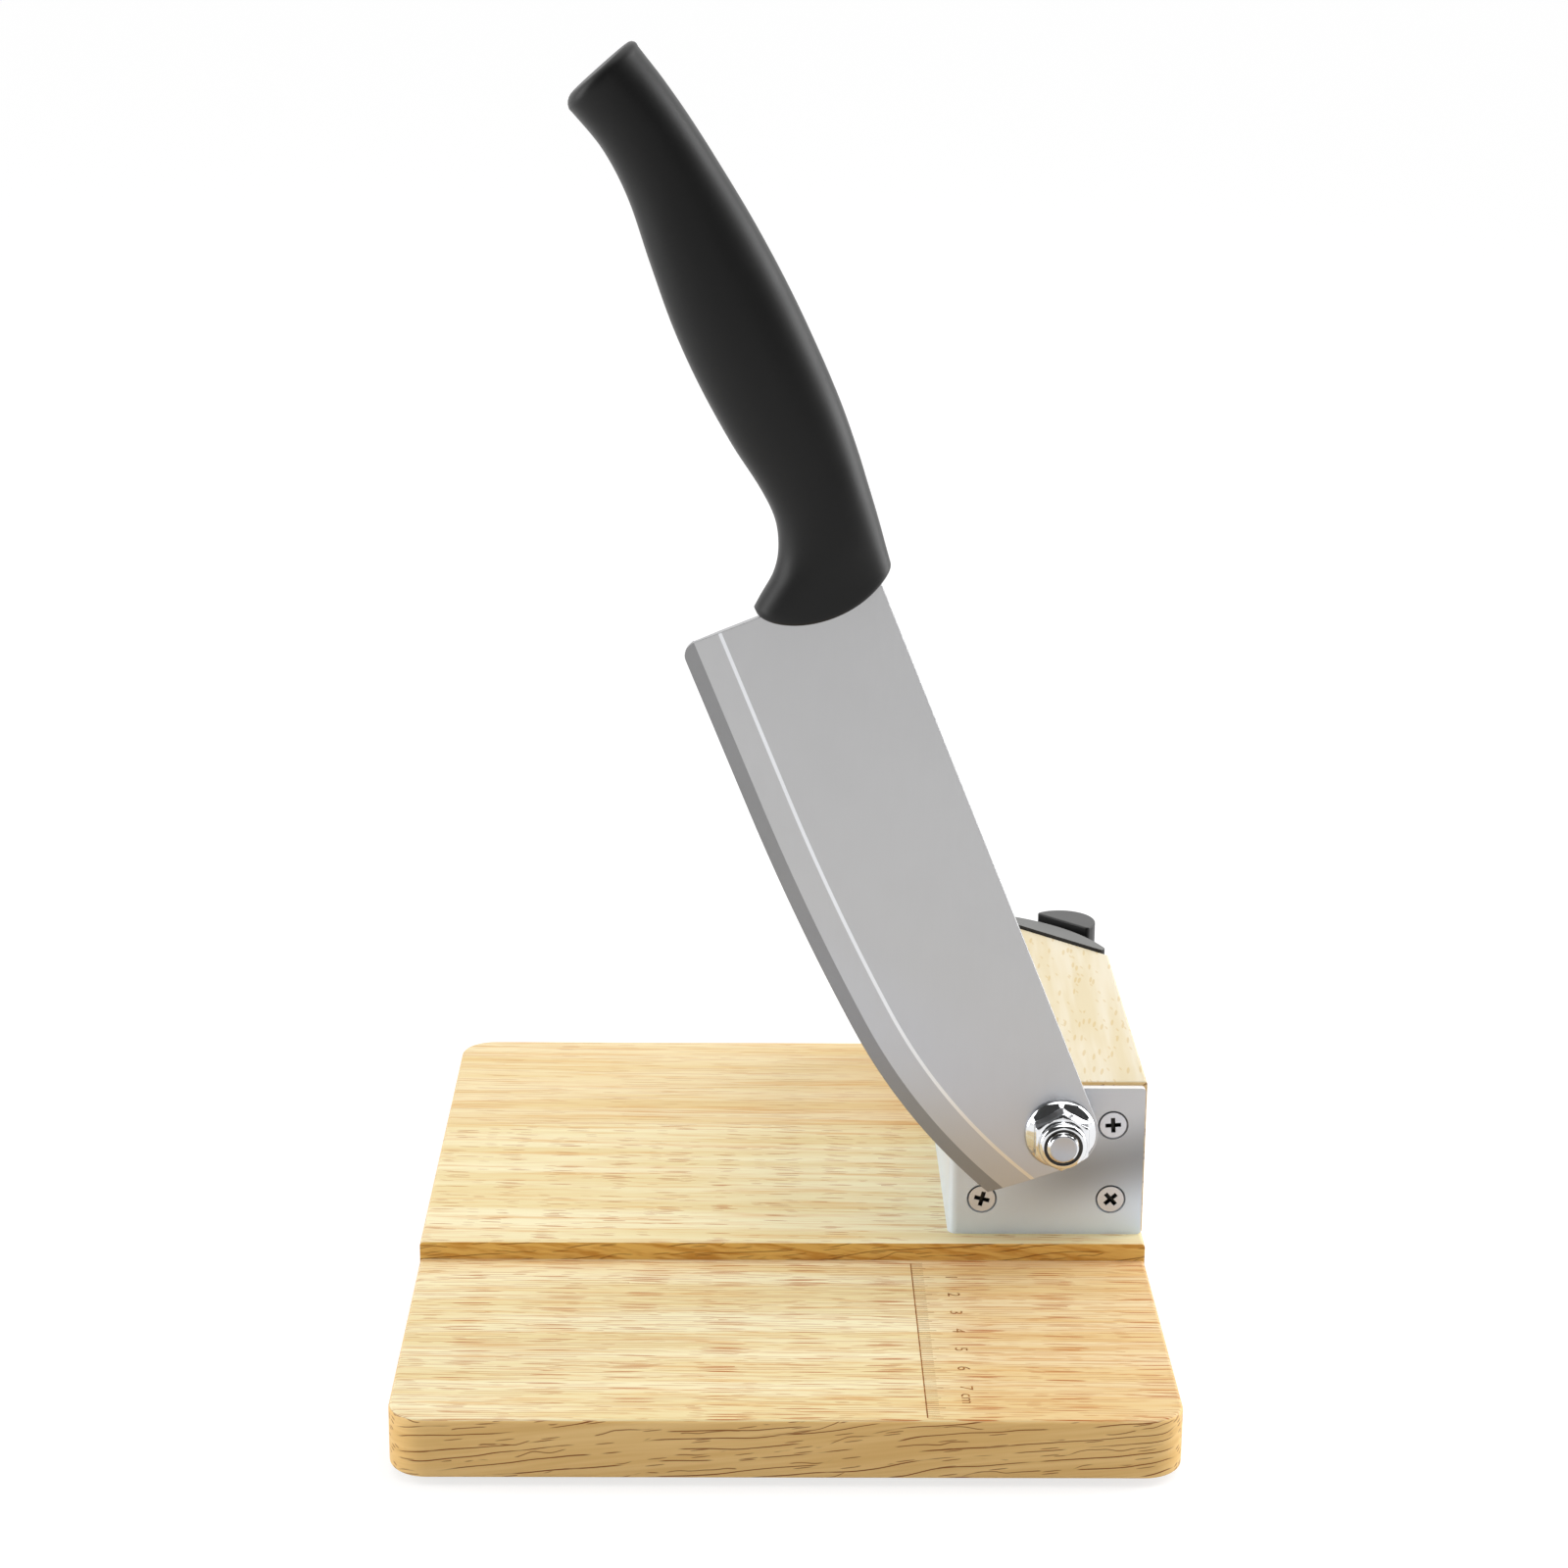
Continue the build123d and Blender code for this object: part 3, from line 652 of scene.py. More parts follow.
@dataclass(frozen=True)
class Steel:
    """Steel with a satin or polished finish and faint brushing."""

    name: str
    colour: Colour
    rough: float
    metal: float = 1.0
    brush: Point = (0.3, 0.3, 14.0)
    uneven: float = 0.02
    depth: float = 0.0015
    spread: float = 0.08
    cloud: Point = (26, 26, 26)
    cloud_shift: Point = (4, 9, 2)
    cloud_limits: Pair = (0.35, 0.65)
    line_rough: float = 0.7

    def surface(self) -> tuple[Surface, Socket]:
        """Makes the plain finish.

        Returns:
            The material's node tree, and its colour.
        """
        s = Surface(self.name)
        cloud = s.noise(s.stretched(self.cloud, shift=self.cloud_shift))
        lines = s.noise(s.stretched(self.brush), 3, self.line_rough)
        dark = tuple(c * (1 - self.uneven) for c in self.colour)
        light = tuple(min(1.0, c * (1 + self.uneven)) for c in self.colour)
        colour = s.mix(s.ramp(cloud, *self.cloud_limits), dark, light)
        s.set(Channel.COLOUR, colour)
        s.set(Channel.METAL, self.metal)
        rough, spread = self.rough, self.rough * self.spread
        s.set(Channel.ROUGH, s.ramp(lines, *CLOUD, rough - spread, rough + spread))
        s.bump(lines, self.depth)
        return s, colour

    def build(self) -> bpy.types.Material:
        """Makes the material."""
        return self.surface()[0].material


@dataclass(frozen=True)
class SheetSteel:
    """Satin sheet with a painted dark reflection band across it, a painted cool tint towards the board
    against the wood's warm reflection, and a painted highlight on its upward-facing edges.
    """

    finish: Steel
    # Painted highlight: near-white colour on faces that look upwards, where the sheet's top edge catches the
    # light from above.
    edge: Colour = tone(250, 250, 250)
    # Painted reflection: a dark band that stands in for the shadowed floor in front of the board, mirrored
    # in the sheet.
    band: Colour = tone(142, 144, 148)
    # Painted cool tint low on the sheet, which offsets the warm light that the board reflects onto it.
    foot: Colour = tone(224, 238, 255)
    band_along: Point = (-0.22, 0.0, 0.975)
    band_at: float = 0.0212
    band_half: float = 0.014
    band_left: float = 0.046
    band_right: float = 0.076
    band_share: float = 0.85
    sheared_facing: Pair = (0.6, 0.9)
    bottom: float = 0.021
    top: float = 0.060

    def build(self) -> bpy.types.Material:
        """Makes the material.

        Returns:
            The finished material.
        """
        s, colour = self.finish.surface()
        # Painted cool tint towards the bottom, against the board's warm reflection.
        colour = s.mix(s.ramp(s.axis(2), self.bottom, self.top, 1, 0), colour, self.foot)
        # Painted reflection: the dark band across the middle of the sheet.
        away = s.away(s.along(self.band_along), self.band_at)
        right = s.ramp(s.axis(0), self.band_left, self.band_right)
        band = s.times(s.ramp(away, 0, self.band_half, self.band_share, 0), right)
        colour = s.mix(band, colour, self.band)
        # Painted highlight on the upward-facing edges.
        top_highlight = s.ramp(s.facing(2), *self.sheared_facing)
        s.set(Channel.COLOUR, s.mix(top_highlight, colour, self.edge))
        return s.material


@dataclass(frozen=True)
class BladeSteel:
    """Satin blade steel with a painted cool tint towards the board, which offsets the warm light that the
    board reflects onto it.
    """

    finish: Steel
    cool: Colour = tone(189, 194, 206)
    upwards: Point = (0.5, 0.0, 0.866)
    start: float = 0.045
    end: float = 0.105

    def build(self) -> bpy.types.Material:
        """Makes the material.

        Returns:
            The finished material.
        """
        s, colour = self.finish.surface()
        # Painted cool tint towards the board.
        low = s.ramp(s.along(self.upwards), self.start, self.end, 1, 0)
        s.set(Channel.COLOUR, s.mix(low, colour, self.cool))
        return s.material


@dataclass(frozen=True)
class ScrewSteel:
    """Bright screw steel with painted shade inside the cross recess."""

    finish: Steel
    out: Point
    face: float
    black: Colour = tone(26, 26, 26)
    fade: Pair = (-0.3, -0.12)

    def build(self) -> bpy.types.Material:
        """Makes the material.

        Returns:
            The finished material.
        """
        s, colour = self.finish.surface()
        low, high = (self.face + depth * MM for depth in self.fade)
        # Painted shade: faces sunk below the head's face turn near black.
        inside = s.ramp(s.along(self.out), low, high, 1, 0)
        s.set(Channel.COLOUR, s.mix(inside, colour, self.black))
        return s.material


@dataclass(frozen=True)
class Moulded:
    """Moulded plastic or rubber with a very fine spark texture, and a painted sheen that can lighten the
    faces looking upwards.
    """

    name: str
    colour: Colour
    rough: float
    specular: float = 0.5
    sheen: float = 0.0
    grain: float = 0.35
    depth: float = 0.004
    spread: float = 0.05
    paler: float = 1.15
    cloud: Point = (18, 18, 18)
    sheen_rough: float = 0.4
    worn: Colour | None = None
    worn_facing: Pair = (0.5, 0.95)

    def build(self) -> bpy.types.Material:
        """Makes the material.

        Returns:
            The finished material.
        """
        s = Surface(self.name)
        speckle = s.noise(s.stretched((self.grain,) * 3))
        cloud = s.noise(s.stretched(self.cloud))
        light = tuple(min(1.0, c * self.paler) for c in self.colour)
        colour = s.mix(s.ramp(cloud, *CLOUD), self.colour, light)
        # Painted sheen: faces that look upwards turn lighter, as if catching the light from above.
        if self.worn is not None:
            colour = s.mix(s.ramp(s.facing(2), *self.worn_facing), colour, self.worn)
        s.set(Channel.COLOUR, colour)
        rough, spread = self.rough, self.rough * self.spread
        s.set(Channel.ROUGH, s.ramp(cloud, *CLOUD, rough - spread, rough + spread))
        s.set(Channel.SPECULAR, self.specular)
        s.set(Channel.SHEEN, self.sheen)
        s.set(Channel.SHEEN_ROUGH, self.sheen_rough)
        s.bump(speckle, self.depth)
        return s.material


@dataclass(frozen=True)
class Burnt:
    """Wood that a laser has browned along the marks of the scale."""

    colour: Colour = tone(128, 78, 34)
    faint: Colour = tone(168, 116, 60)
    patch: Point = (1.6, 1.6, 1.6)
    limits: Pair = (0.4, 0.68)
    rough: float = 0.7
    specular: float = 0.2

    def build(self) -> bpy.types.Material:
        """Makes the material.

        Returns:
            The finished material.
        """
        s = Surface("burnt_marks")
        patch = s.noise(s.stretched(self.patch))
        s.set(Channel.COLOUR, s.mix(s.ramp(patch, *self.limits), self.colour, self.faint))
        s.set(Channel.ROUGH, self.rough)
        s.set(Channel.SPECULAR, self.specular)
        return s.material


class Finishes:
    """All materials of the slicer, each made once."""

    def __init__(self) -> None:
        """Makes the materials."""
        self.board = BoardWood().build()
        self.block = BlockWood().build()
        self.burnt = Burnt().build()
        self.bracket = SheetSteel(
            Steel("bracket_steel", tone(206, 208, 213), 0.44, 0.4, brush=(9, 0.3, 0.3))
        ).build()
        self.blade = BladeSteel(
            Steel("blade_steel", tone(186, 186, 187), 0.36, 0.85, brush=(0.25, 0.25, 12), uneven=0.008)
        ).build()
        # Painted highlight: a brighter, glossier copy of the blade steel on the narrow strip at the bevel's
        # shoulder.
        self.shoulder = Steel("blade_shoulder_highlight", tone(222, 223, 226), 0.3).build()
        # Painted shade: the edge bevel's steel is a darker copy of the blade steel, with the same painted
        # cool tint towards the board.
        self.edge = BladeSteel(
            Steel("blade_edge_shade", tone(142, 142, 143), 0.4, 0.85, brush=(0.2, 0.2, 4)), tone(146, 151, 164)
        ).build()
        self.polished = Steel("polished_steel", tone(226, 227, 229), 0.09, uneven=0.01, depth=0.0002).build()
        self.stud = Steel(
            "stud_end", tone(188, 191, 199), 0.42, 0.7, brush=(0.6, 0.6, 0.6), uneven=0.06
        ).build()
        self.handle = Moulded("handle_plastic", tone(17, 17, 17), 0.44, 0.24, 0.14).build()
        # The sharpener gets a painted sheen on its upward faces, lighter on the backplate than on the outer
        # wall.
        self.sharpener = Moulded(
            "sharpener_plastic", tone(20, 20, 20), 0.45, 0.3, 0.1, worn=tone(114, 114, 112)
        ).build()
        self.sharpener_wall = Moulded(
            "sharpener_wall_plastic", tone(20, 20, 20), 0.45, 0.3, 0.1, worn=tone(72, 72, 71)
        ).build()
        self.insert = Steel("hard_metal", tone(120, 120, 124), 0.35, brush=(1, 1, 1)).build()
        self.bearing = Moulded("bearing_nylon", tone(230, 228, 218), 0.45).build()
        self.ring = Moulded("ring_nylon", tone(14, 14, 14), 0.3).build()
        self.foot = Moulded("foot_rubber", tone(52, 52, 52), 0.75, 0.3, grain=0.5).build()

    def screw(self, name: str, out: Point, face: float) -> bpy.types.Material:
        """Material of screws, with painted shade in the cross recess, whose heads face one way and lie so
        far along it, in metres.
        """
        steel = Steel(name, tone(216, 220, 230), 0.34, 0.5, brush=(1, 1, 1))
        return ScrewSteel(steel, out, face).build()


class Shell:
    """Vertices and faces of one piece before it becomes an object."""

    def __init__(self) -> None:
        """Starts with nothing."""
        self.points: list[Vector] = []
        self.faces: list[tuple[int, ...]] = []
        self.finishes: list[int] = []

    def ring(self, points: Sequence[Vector]) -> list[int]:
        """Adds points, in metres.

        Args:
            points: the ring's points in order.

        Returns:
            Their numbers.
        """
        start = len(self.points)
        self.points.extend(points)
        return list(range(start, len(self.points)))

    def skin(self, first: list[int], second: list[int], finish: int = 0, closed: bool = True) -> None:
        """Joins two rings of the same length with four-sided faces.

        Args:
            first, second: the rings.
            finish: number of the faces' material.
            closed: whether the last point joins the first.
        """
        count = len(first)
        for i in range(count if closed else count - 1):
            j = (i + 1) % count
            self.faces.append((first[i], first[j], second[j], second[i]))
            self.finishes.append(finish)

    def cap(self, ring: Sequence[int], finish: int = 0) -> None:
        """Closes a ring with one face."""
        self.faces.append(tuple(ring))
        self.finishes.append(finish)

    def fan(self, ring: list[int], centre: Vector, finish: int = 0) -> None:
        """Closes a ring with triangles round a centre.

        Args:
            ring: the ring.
            centre: the point in its middle, in metres.
            finish: number of the faces' material.
        """
        middle = self.ring([centre])[0]
        for i, start in enumerate(ring):
            self.faces.append((start, ring[(i + 1) % len(ring)], middle))
            self.finishes.append(finish)

    def to_object(
        self, name: str, materials: Sequence[bpy.types.Material], sharp: float = 30
    ) -> bpy.types.Object:
        """Makes the object and links it to the scene.

        Args:
            name: the object's name.
            materials: its materials in order.
            sharp: angle above which an edge stays sharp, in degrees.

        Returns:
            The new object.
        """
        mesh = bpy.data.meshes.new(name)
        mesh.from_pydata(self.points, [], self.faces)
        for material in materials:
            mesh.materials.append(material)
        mesh.polygons.foreach_set("material_index", self.finishes)
        tidy = bmesh.new()
        tidy.from_mesh(mesh)
        bmesh.ops.recalc_face_normals(tidy, faces=tidy.faces)
        tidy.to_mesh(mesh)
        tidy.free()
        smooth(mesh, sharp)
        return add_object(name, mesh)


def add_object(name: str, data: bpy.types.ID) -> bpy.types.Object:
    """Makes an object and links it to the scene.

    Args:
        name: its name.
        data: its mesh, curve, camera or lamp.

    Returns:
        The new object.
    """
    made = bpy.data.objects.new(name, data)
    bpy.context.scene.collection.objects.link(made)
    return made


def arc(centre: Sequence[float], radius: float, begin: float, end: float, steps: int) -> list[Pair]:
    """Points of an arc in a plane, both ends included, between two angles in radians."""
    angles = [begin + (end - begin) * step / steps for step in range(steps + 1)]
    return [(centre[0] + radius * math.cos(a), centre[1] + radius * math.sin(a)) for a in angles]


def smooth(mesh: bpy.types.Mesh, sharp: float) -> None:
    """Shades a mesh smooth except at its sharp edges.

    Args:
        mesh: the mesh.
        sharp: angle above which an edge stays sharp, in degrees.
    """
    mesh.polygons.foreach_set("use_smooth", [True] * len(mesh.polygons))
    mesh.set_sharp_from_angle(angle=math.radians(sharp))
    mesh.update()


def cut(target: bpy.types.Object, tool: bpy.types.Object, operation: str) -> None:
    """Changes a mesh by another solid, which is then removed.

    Args:
        target: the object that is changed.
        tool: the other solid.
        operation: DIFFERENCE, INTERSECT or UNION.
    """
    change = target.modifiers.new("cut", "BOOLEAN")
    change.object = tool
    change.operation = operation
    change.solver = "EXACT"
    mesh = final_mesh(target)
    target.modifiers.clear()
    target.data = mesh
    bpy.data.objects.remove(tool)


def final_mesh(target: bpy.types.Object) -> bpy.types.Mesh:
    """Mesh of a solid or a text, with its modifiers applied.

    Args:
        target: the object.

    Returns:
        The new mesh.
    """
    bpy.context.view_layer.update()
    graph = bpy.context.evaluated_depsgraph_get()
    return bpy.data.meshes.new_from_object(target.evaluated_get(graph))


def soften(target: bpy.types.Object, width: float) -> None:
    """Rounds the sharp edges of a piece a little.

    Args:
        target: the object.
        width: width of the rounding, in millimetres.
    """
    bevel = target.modifiers.new("soften", "BEVEL")
    bevel.width = width * MM
    bevel.segments = 2
    bevel.limit_method = "ANGLE"
    bevel.angle_limit = math.radians(SOFTENED_ANGLE)
    bevel.harden_normals = True


def even_out(target: bpy.types.Object) -> None:
    """Lets the large faces of a piece rule how its edges are shaded.

    Args:
        target: the object.
    """
    weights = target.modifiers.new("even", "WEIGHTED_NORMAL")
    weights.keep_sharp = True
    weights.weight = FACE_WEIGHT


def hand_over(made: bpy.types.Object, body: str, slot: str, *nodes: str) -> None:
    """Makes a piece ride on its body and stand for CAD nodes.

    Args:
        made: the piece.
        body: the body that it moves with.
        slot: the record's material slot; not used.
        nodes: the CAD nodes that it replaces.
    """
    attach(made, body)
    if nodes:
        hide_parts(*nodes)
    log.info("%s: %d faces, on %s", made.name, len(made.data.polygons), body)


@dataclass(frozen=True)
class Pivot:
    """Axis of the pivot, which runs towards the user."""

    x: float = 67.65
    z: float = 51.7

    def at(self, y: float) -> Vector:
        """Point on the axis in metres, from its place in millimetres."""
        return Vector((self.x, y, self.z)) * MM

    def around(self, rows: Sequence[Pair], angles: Sequence[float]) -> list[Vector]:
        """Points round the axis.

        Args:
            rows: each point's radius and place along the axis, in millimetres.
            angles: each point's direction, in radians.

        Returns:
            The points, in metres.
        """
        return [
            self.at(y) + Vector((math.cos(angle), 0, math.sin(angle))) * radius * MM
            for (radius, y), angle in zip(rows, angles)
        ]


@dataclass(frozen=True)
class KnifeFrame:
    """Plane of the knife: U runs along the spine to the handle, V towards the edge, W to the user."""

    pivot: Pivot = Pivot()
    middle_y: float = -28.55
    lean: float = 22.2

    def point(self, u: float, v: float, w: float) -> Vector:
        """Point of the knife in the shared frame.

        Args:
            u, v, w: place in the knife's plane, in millimetres.

        Returns:
            The point, in metres.
        """
        lean = math.radians(self.lean)
        along = Vector((-math.sin(lean), 0, math.cos(lean)))
        down = Vector((-math.cos(lean), 0, -math.sin(lean)))
        return self.pivot.at(self.middle_y) + (along * u + down * v + Vector((0, -1, 0)) * w) * MM

    def points(self, outline: Sequence[Pair], w: float) -> list[Vector]:
        """Points of an outline that lies so far from the knife's plane."""
        return [self.point(u, v, w) for u, v in outline]


@dataclass
class Blade:
    """Steel blade with two ground bevels on each side, and its tang."""

    finishes: Finishes
    knife: KnifeFrame = KnifeFrame()
    thickness: float = 2.5
    spine: float = 9.4
    edge: float = 40.1
    heel: float = 148.0
    heel_radius: float = 3.5
    belly_start: float = 105.0
    belly_middle: float = 44.0
    belly_drop: float = 2.9
    tip: Pair = (-8.4, 22.1)
    tip_gap: Pair = (0.4, 0.8)
    bevel: float = 10.5
    shoulder: float = 0.85
    shoulder_rise: float = 0.72
    edge_bevel: float = 3.5
    edge_bevel_thickness: float = 1.5
    edge_thickness: float = 0.3
    run_out: float = 8.0
    tang_width: float = 13.0
    tang_end: float = 234.7
    bore: float = 8.1
    soft_edge: float = 0.14
    shaded_as_one: float = 2.5
    curve_steps: int = 72
    heel_steps: int = 8
    nose_steps: int = 16
    bore_steps: int = 48

    def _curve(self, inset: float) -> list[Pair]:
        """Line of the cutting edge, moved into the blade.

        Args:
            inset: how far it is moved, in millimetres.

        Returns:
            Its points from beyond the heel to beyond the tip.
        """
        run, drop = self.belly_start - self.belly_middle, self.belly_drop
        radius = (run**2 + drop**2) / (2 * drop)
        centre = Vector((self.belly_start, self.edge - radius))
        belly = Vector((self.belly_middle, self.edge - drop))
        tip = Vector(self.tip)
        inward = (centre - belly).normalized()
        tip_radius = (tip - belly).length_squared / (2 * (tip - belly).dot(inward))
        tip_centre = belly + inward * tip_radius
        half = math.pi / 2
        bend = half + math.atan2(run, radius - drop)
        away = tip - tip_centre
        last = math.atan2(away.y, away.x) + math.radians(self.run_out)
        flat = arc(centre, radius - inset, half, bend, self.curve_steps)[:-1]
        round_tip = arc(tip_centre, tip_radius - inset, bend, last, self.curve_steps)
        return [(self.heel + OVERRUN, self.edge - inset), *flat, *round_tip]

    def _levels(self) -> list[tuple[float, float, int]]:
        """Lines on the blade, from the edge inwards.

        Returns:
            Each line's inset, half thickness and finish.
        """
        half = self.thickness / 2
        edge_half = self.edge_bevel_thickness / 2
        slope = (half - edge_half) / (self.bevel - self.edge_bevel)
        return [
            # Finish 2 is the edge bevel with its painted shade.
            (0.0, self.edge_thickness / 2, 2),
            (self.edge_bevel, edge_half, 0),
            # Finish 1 is the shoulder strip with its painted highlight.
            (self.bevel - self.shoulder, half - slope * self.shoulder * self.shoulder_rise, 1),
            (self.bevel, half, 0),
        ]

    def _body(self) -> bpy.types.Object:
        """Ground strip and flat side, larger than the outline.

        Returns:
            The solid.
        """
        shell = Shell()
        levels = self._levels()
        inner = self._curve(self.bevel)
        back = [(u, -self.spine - OVERRUN) for u, _ in (inner[0], inner[-1])]
        rows: dict[int, list[list[int]]] = {}
        for side in (1, -1):
            rows[side] = [
                shell.ring(self.knife.points(self._curve(inset), side * half)) for inset, half, _ in levels
            ]
            rows[side].append(shell.ring(self.knife.points(back, side * self.thickness / 2)))
        for side in (1, -1):
            for index, (_, _, finish) in enumerate(levels[:-1]):
                shell.skin(rows[side][index], rows[side][index + 1], finish, closed=False)
            shell.cap(rows[side][3] + rows[side][4][::-1])
        shell.skin(rows[1][0], rows[-1][0], 2, closed=False)
        for end, pick in ((0, 0), (-1, 1)):
            outline = [row[end] for row in rows[1][:4]] + [rows[1][4][pick], rows[-1][4][pick]]
            shell.cap(outline + [row[end] for row in reversed(rows[-1][:4])])
        shell.cap([*rows[1][4], *reversed(rows[-1][4])])
        looks = self.finishes
        return shell.to_object("blade_body", [looks.blade, looks.shoulder, looks.edge])

    def _plate(self, name: str, outline: Sequence[Pair], half: float) -> bpy.types.Object:
        """Flat solid with a given outline.

        Args:
            name: the object's name.
            outline: its points in the knife's plane.
            half: half of its thickness.

        Returns:
            The solid.
        """
        shell = Shell()
        front, back = (shell.ring(self.knife.points(outline, w)) for w in (half, -half))
        shell.skin(front, back)
        shell.cap(front)
        shell.cap(back)
        return shell.to_object(name, [self.finishes.blade])

    def _outline(self) -> list[Pair]:
        """Outline of the blade without its tang.

        Returns:
            Its points from the heel round by the tip, in millimetres.
        """
        r = self.heel_radius
        corner = arc((self.heel - r, self.edge - r), r, 0, math.pi / 2, self.heel_steps)
        line = [p for p in self._curve(0.0) if self.heel - r > p[0]]
        beyond = [at + gap for at, gap in zip(self.tip, self.tip_gap)]
        line = [p for p in line if p[0] > beyond[0] or p[1] > beyond[1]]
        nose = arc((0, 0), self.spine, math.pi, math.pi * 1.5, self.nose_steps)
        return [*corner, *line, self.tip, *nose, (self.heel, -self.spine)]

    def build(self) -> None:
        """Makes the blade and hands it over."""
        blade = self._body()
        cut(blade, self._plate("outline", self._outline(), self.thickness), "INTERSECT")
        start, top = self.heel - OVERRUN, -self.spine + self.tang_width
        strip = [(start, -self.spine), (self.tang_end, -self.spine), (self.tang_end, top), (start, top)]
        cut(blade, self._plate("tang", strip, self.thickness / 2), "UNION")
        hole = arc((0, 0), self.bore / 2, 0, 2 * math.pi, self.bore_steps)[:-1]
        cut(blade, self._plate("bore", hole, self.thickness), "DIFFERENCE")
        blade.name = blade.data.name = "knife_blade"
        smooth(blade.data, self.shaded_as_one)
        soften(blade, self.soft_edge)
        hand_over(blade, KNIFE, "blade_steel", "blade")


def spline(stations: Sequence[float], values: Sequence[float], at: float) -> float:
    """Smooth curve through given values.

    Args:
        stations: where the values are, in rising order.
        values: the values.
        at: where the curve is read.

    Returns:
        The curve's value.
    """
    last = len(stations) - 1
    at = min(max(at, stations[0]), stations[last])
    i = next((k for k in range(last) if at <= stations[k + 1]), last - 1)

    def slope(k: int) -> float:
        """Slope of the curve at one station."""
        low, high = max(k - 1, 0), min(k + 1, last)
        return (values[high] - values[low]) / (stations[high] - stations[low])

    span = stations[i + 1] - stations[i]
    t = (at - stations[i]) / span
    start, end = slope(i) * span, slope(i + 1) * span
    return (
        values[i] * (2 * t**3 - 3 * t**2 + 1)
        + start * (t**3 - 2 * t**2 + t)
        + values[i + 1] * (3 * t**2 - 2 * t**3)
        + end * (t**3 - t**2)
    )


@dataclass(frozen=True)
class HandleEnd:
    """One end of the handle: where it lies across the knife, its side, its rounding and its inner side."""

    place: Callable[[float], float]
    outer: list[Pair]
    radius: float
    inward: int

    @property
    def centre(self) -> float:
        """V of the end's middle, in millimetres."""
        return (max(v for v, _ in self.outer) + min(v for v, _ in self.outer)) / 2


@dataclass
class Handle:
    """Moulded handle, wider at its hooked nose and at its slanted butt."""

    finishes: Finishes
    knife: KnifeFrame = KnifeFrame()
    start: float = 142.7
    length: float = 138.6
    width: float = 29.0
    thickness: float = 21.0
    power: float = 2.15
    nose_round: float = 1.1
    butt_round: float = 2.2
    butt_slant: float = 19.0
    butt_corner: float = -0.08
    around: int = 72
    lengthways: int = 110
    rounding_steps: int = 5
    inner_rings: tuple[float, ...] = (0.25, 0.5, 0.75)
    smallest_ring: float = 0.05
    search_reach: float = 12.0
    search_steps: int = 40
    sharp: float = 60.0
    # Each row is the place along the handle, its spine side, its finger side and its thickness,
    # as shares of the length, the width and the thickness.
    shares: tuple[tuple[float, float, float, float], ...] = (
        (-0.027, -0.414, 0.970, 0.80),
        (0.009, -0.441, 0.885, 0.81),
        (0.040, -0.455, 0.786, 0.82),
        (0.070, -0.470, 0.626, 0.83),
        (0.099, -0.486, 0.455, 0.84),
        (0.134, -0.503, 0.343, 0.85),
        (0.183, -0.523, 0.276, 0.87),
        (0.240, -0.545, 0.290, 0.90),
        (0.330, -0.562, 0.370, 0.96),
        (0.443, -0.548, 0.432, 1.00),
        (0.548, -0.514, 0.450, 1.00),
        (0.659, -0.452, 0.426, 0.97),
        (0.771, -0.364, 0.394, 0.93),
        (0.856, -0.286, 0.432, 0.93),
        (0.926, -0.206, 0.536, 0.96),
        (0.970, -0.145, 0.620, 0.99),
        (1.020, -0.075, 0.710, 1.00),
    )
    nose: tuple[Pair, ...] = ((0.062, 0.810), (0.0, 0.095), (0.040, -0.490))

    def _section(self, u: float, angle: float) -> Pair:
        """Point of the cross section.

        Args:
            u: place along the knife, in millimetres.
            angle: where round the section, in radians.

        Returns:
            Its V and W, in millimetres.
        """
        share = (u - self.start) / self.length
        stations = [row[0] for row in self.shares]
        spine_side, finger_side, thick = (
            spline(stations, [row[k] for row in self.shares], share) for k in (1, 2, 3)
        )
        across, up = math.cos(angle), math.sin(angle)
        across = math.copysign(abs(across) ** (2 / self.power), across)
        up = math.copysign(abs(up) ** (2 / self.power), up)
        middle = (spine_side + finger_side) / 2
        half = (finger_side - spine_side) / 2
        return (middle + half * across) * self.width, up * thick * self.thickness / 2

    def _nose_at(self, v: float) -> float:
        """Where the curved nose is, at a place across the knife.

        Args:
            v: the place, in millimetres.

        Returns:
            The nose's place along the knife, in millimetres.
        """
        (x0, y0), (x1, y1), (x2, y2) = ((a * self.length, b * self.width) for a, b in self.nose)
        twice = 2 * (x0 * (y1 - y2) + x1 * (y2 - y0) + x2 * (y0 - y1))
        squares = (x0**2 + y0**2, x1**2 + y1**2, x2**2 + y2**2)
        cx = (squares[0] * (y1 - y2) + squares[1] * (y2 - y0) + squares[2] * (y0 - y1)) / twice
        cy = (squares[0] * (x2 - x1) + squares[1] * (x0 - x2) + squares[2] * (x1 - x0)) / twice
        radius = math.hypot(x1 - cx, y1 - cy)
        return self.start + cx - math.sqrt(max(radius**2 - (v - cy) ** 2, 0.0))

    def _butt_at(self, v: float) -> float:
        """Where the slanted butt is, at a place across the knife."""
        slope = math.tan(math.radians(self.butt_slant))
        return self.start + self.length + (self.butt_corner * self.width - v) * slope

    def _meet(self, end: Callable[[float], float], angle: float) -> float:
        """Where one line along the handle meets an end.

        Args:
            end: gives the end's place for a place across the knife.
            angle: which line, in radians.

        Returns:
            The place along the knife, in millimetres.
        """
        low, high = self.start - self.search_reach, self.start + self.length + self.search_reach
        for _ in range(self.search_steps):
            middle = (low + high) / 2
            ahead = middle > end(self._section(middle, angle)[0])
            low, high = (low, middle) if ahead else (middle, high)
        return low

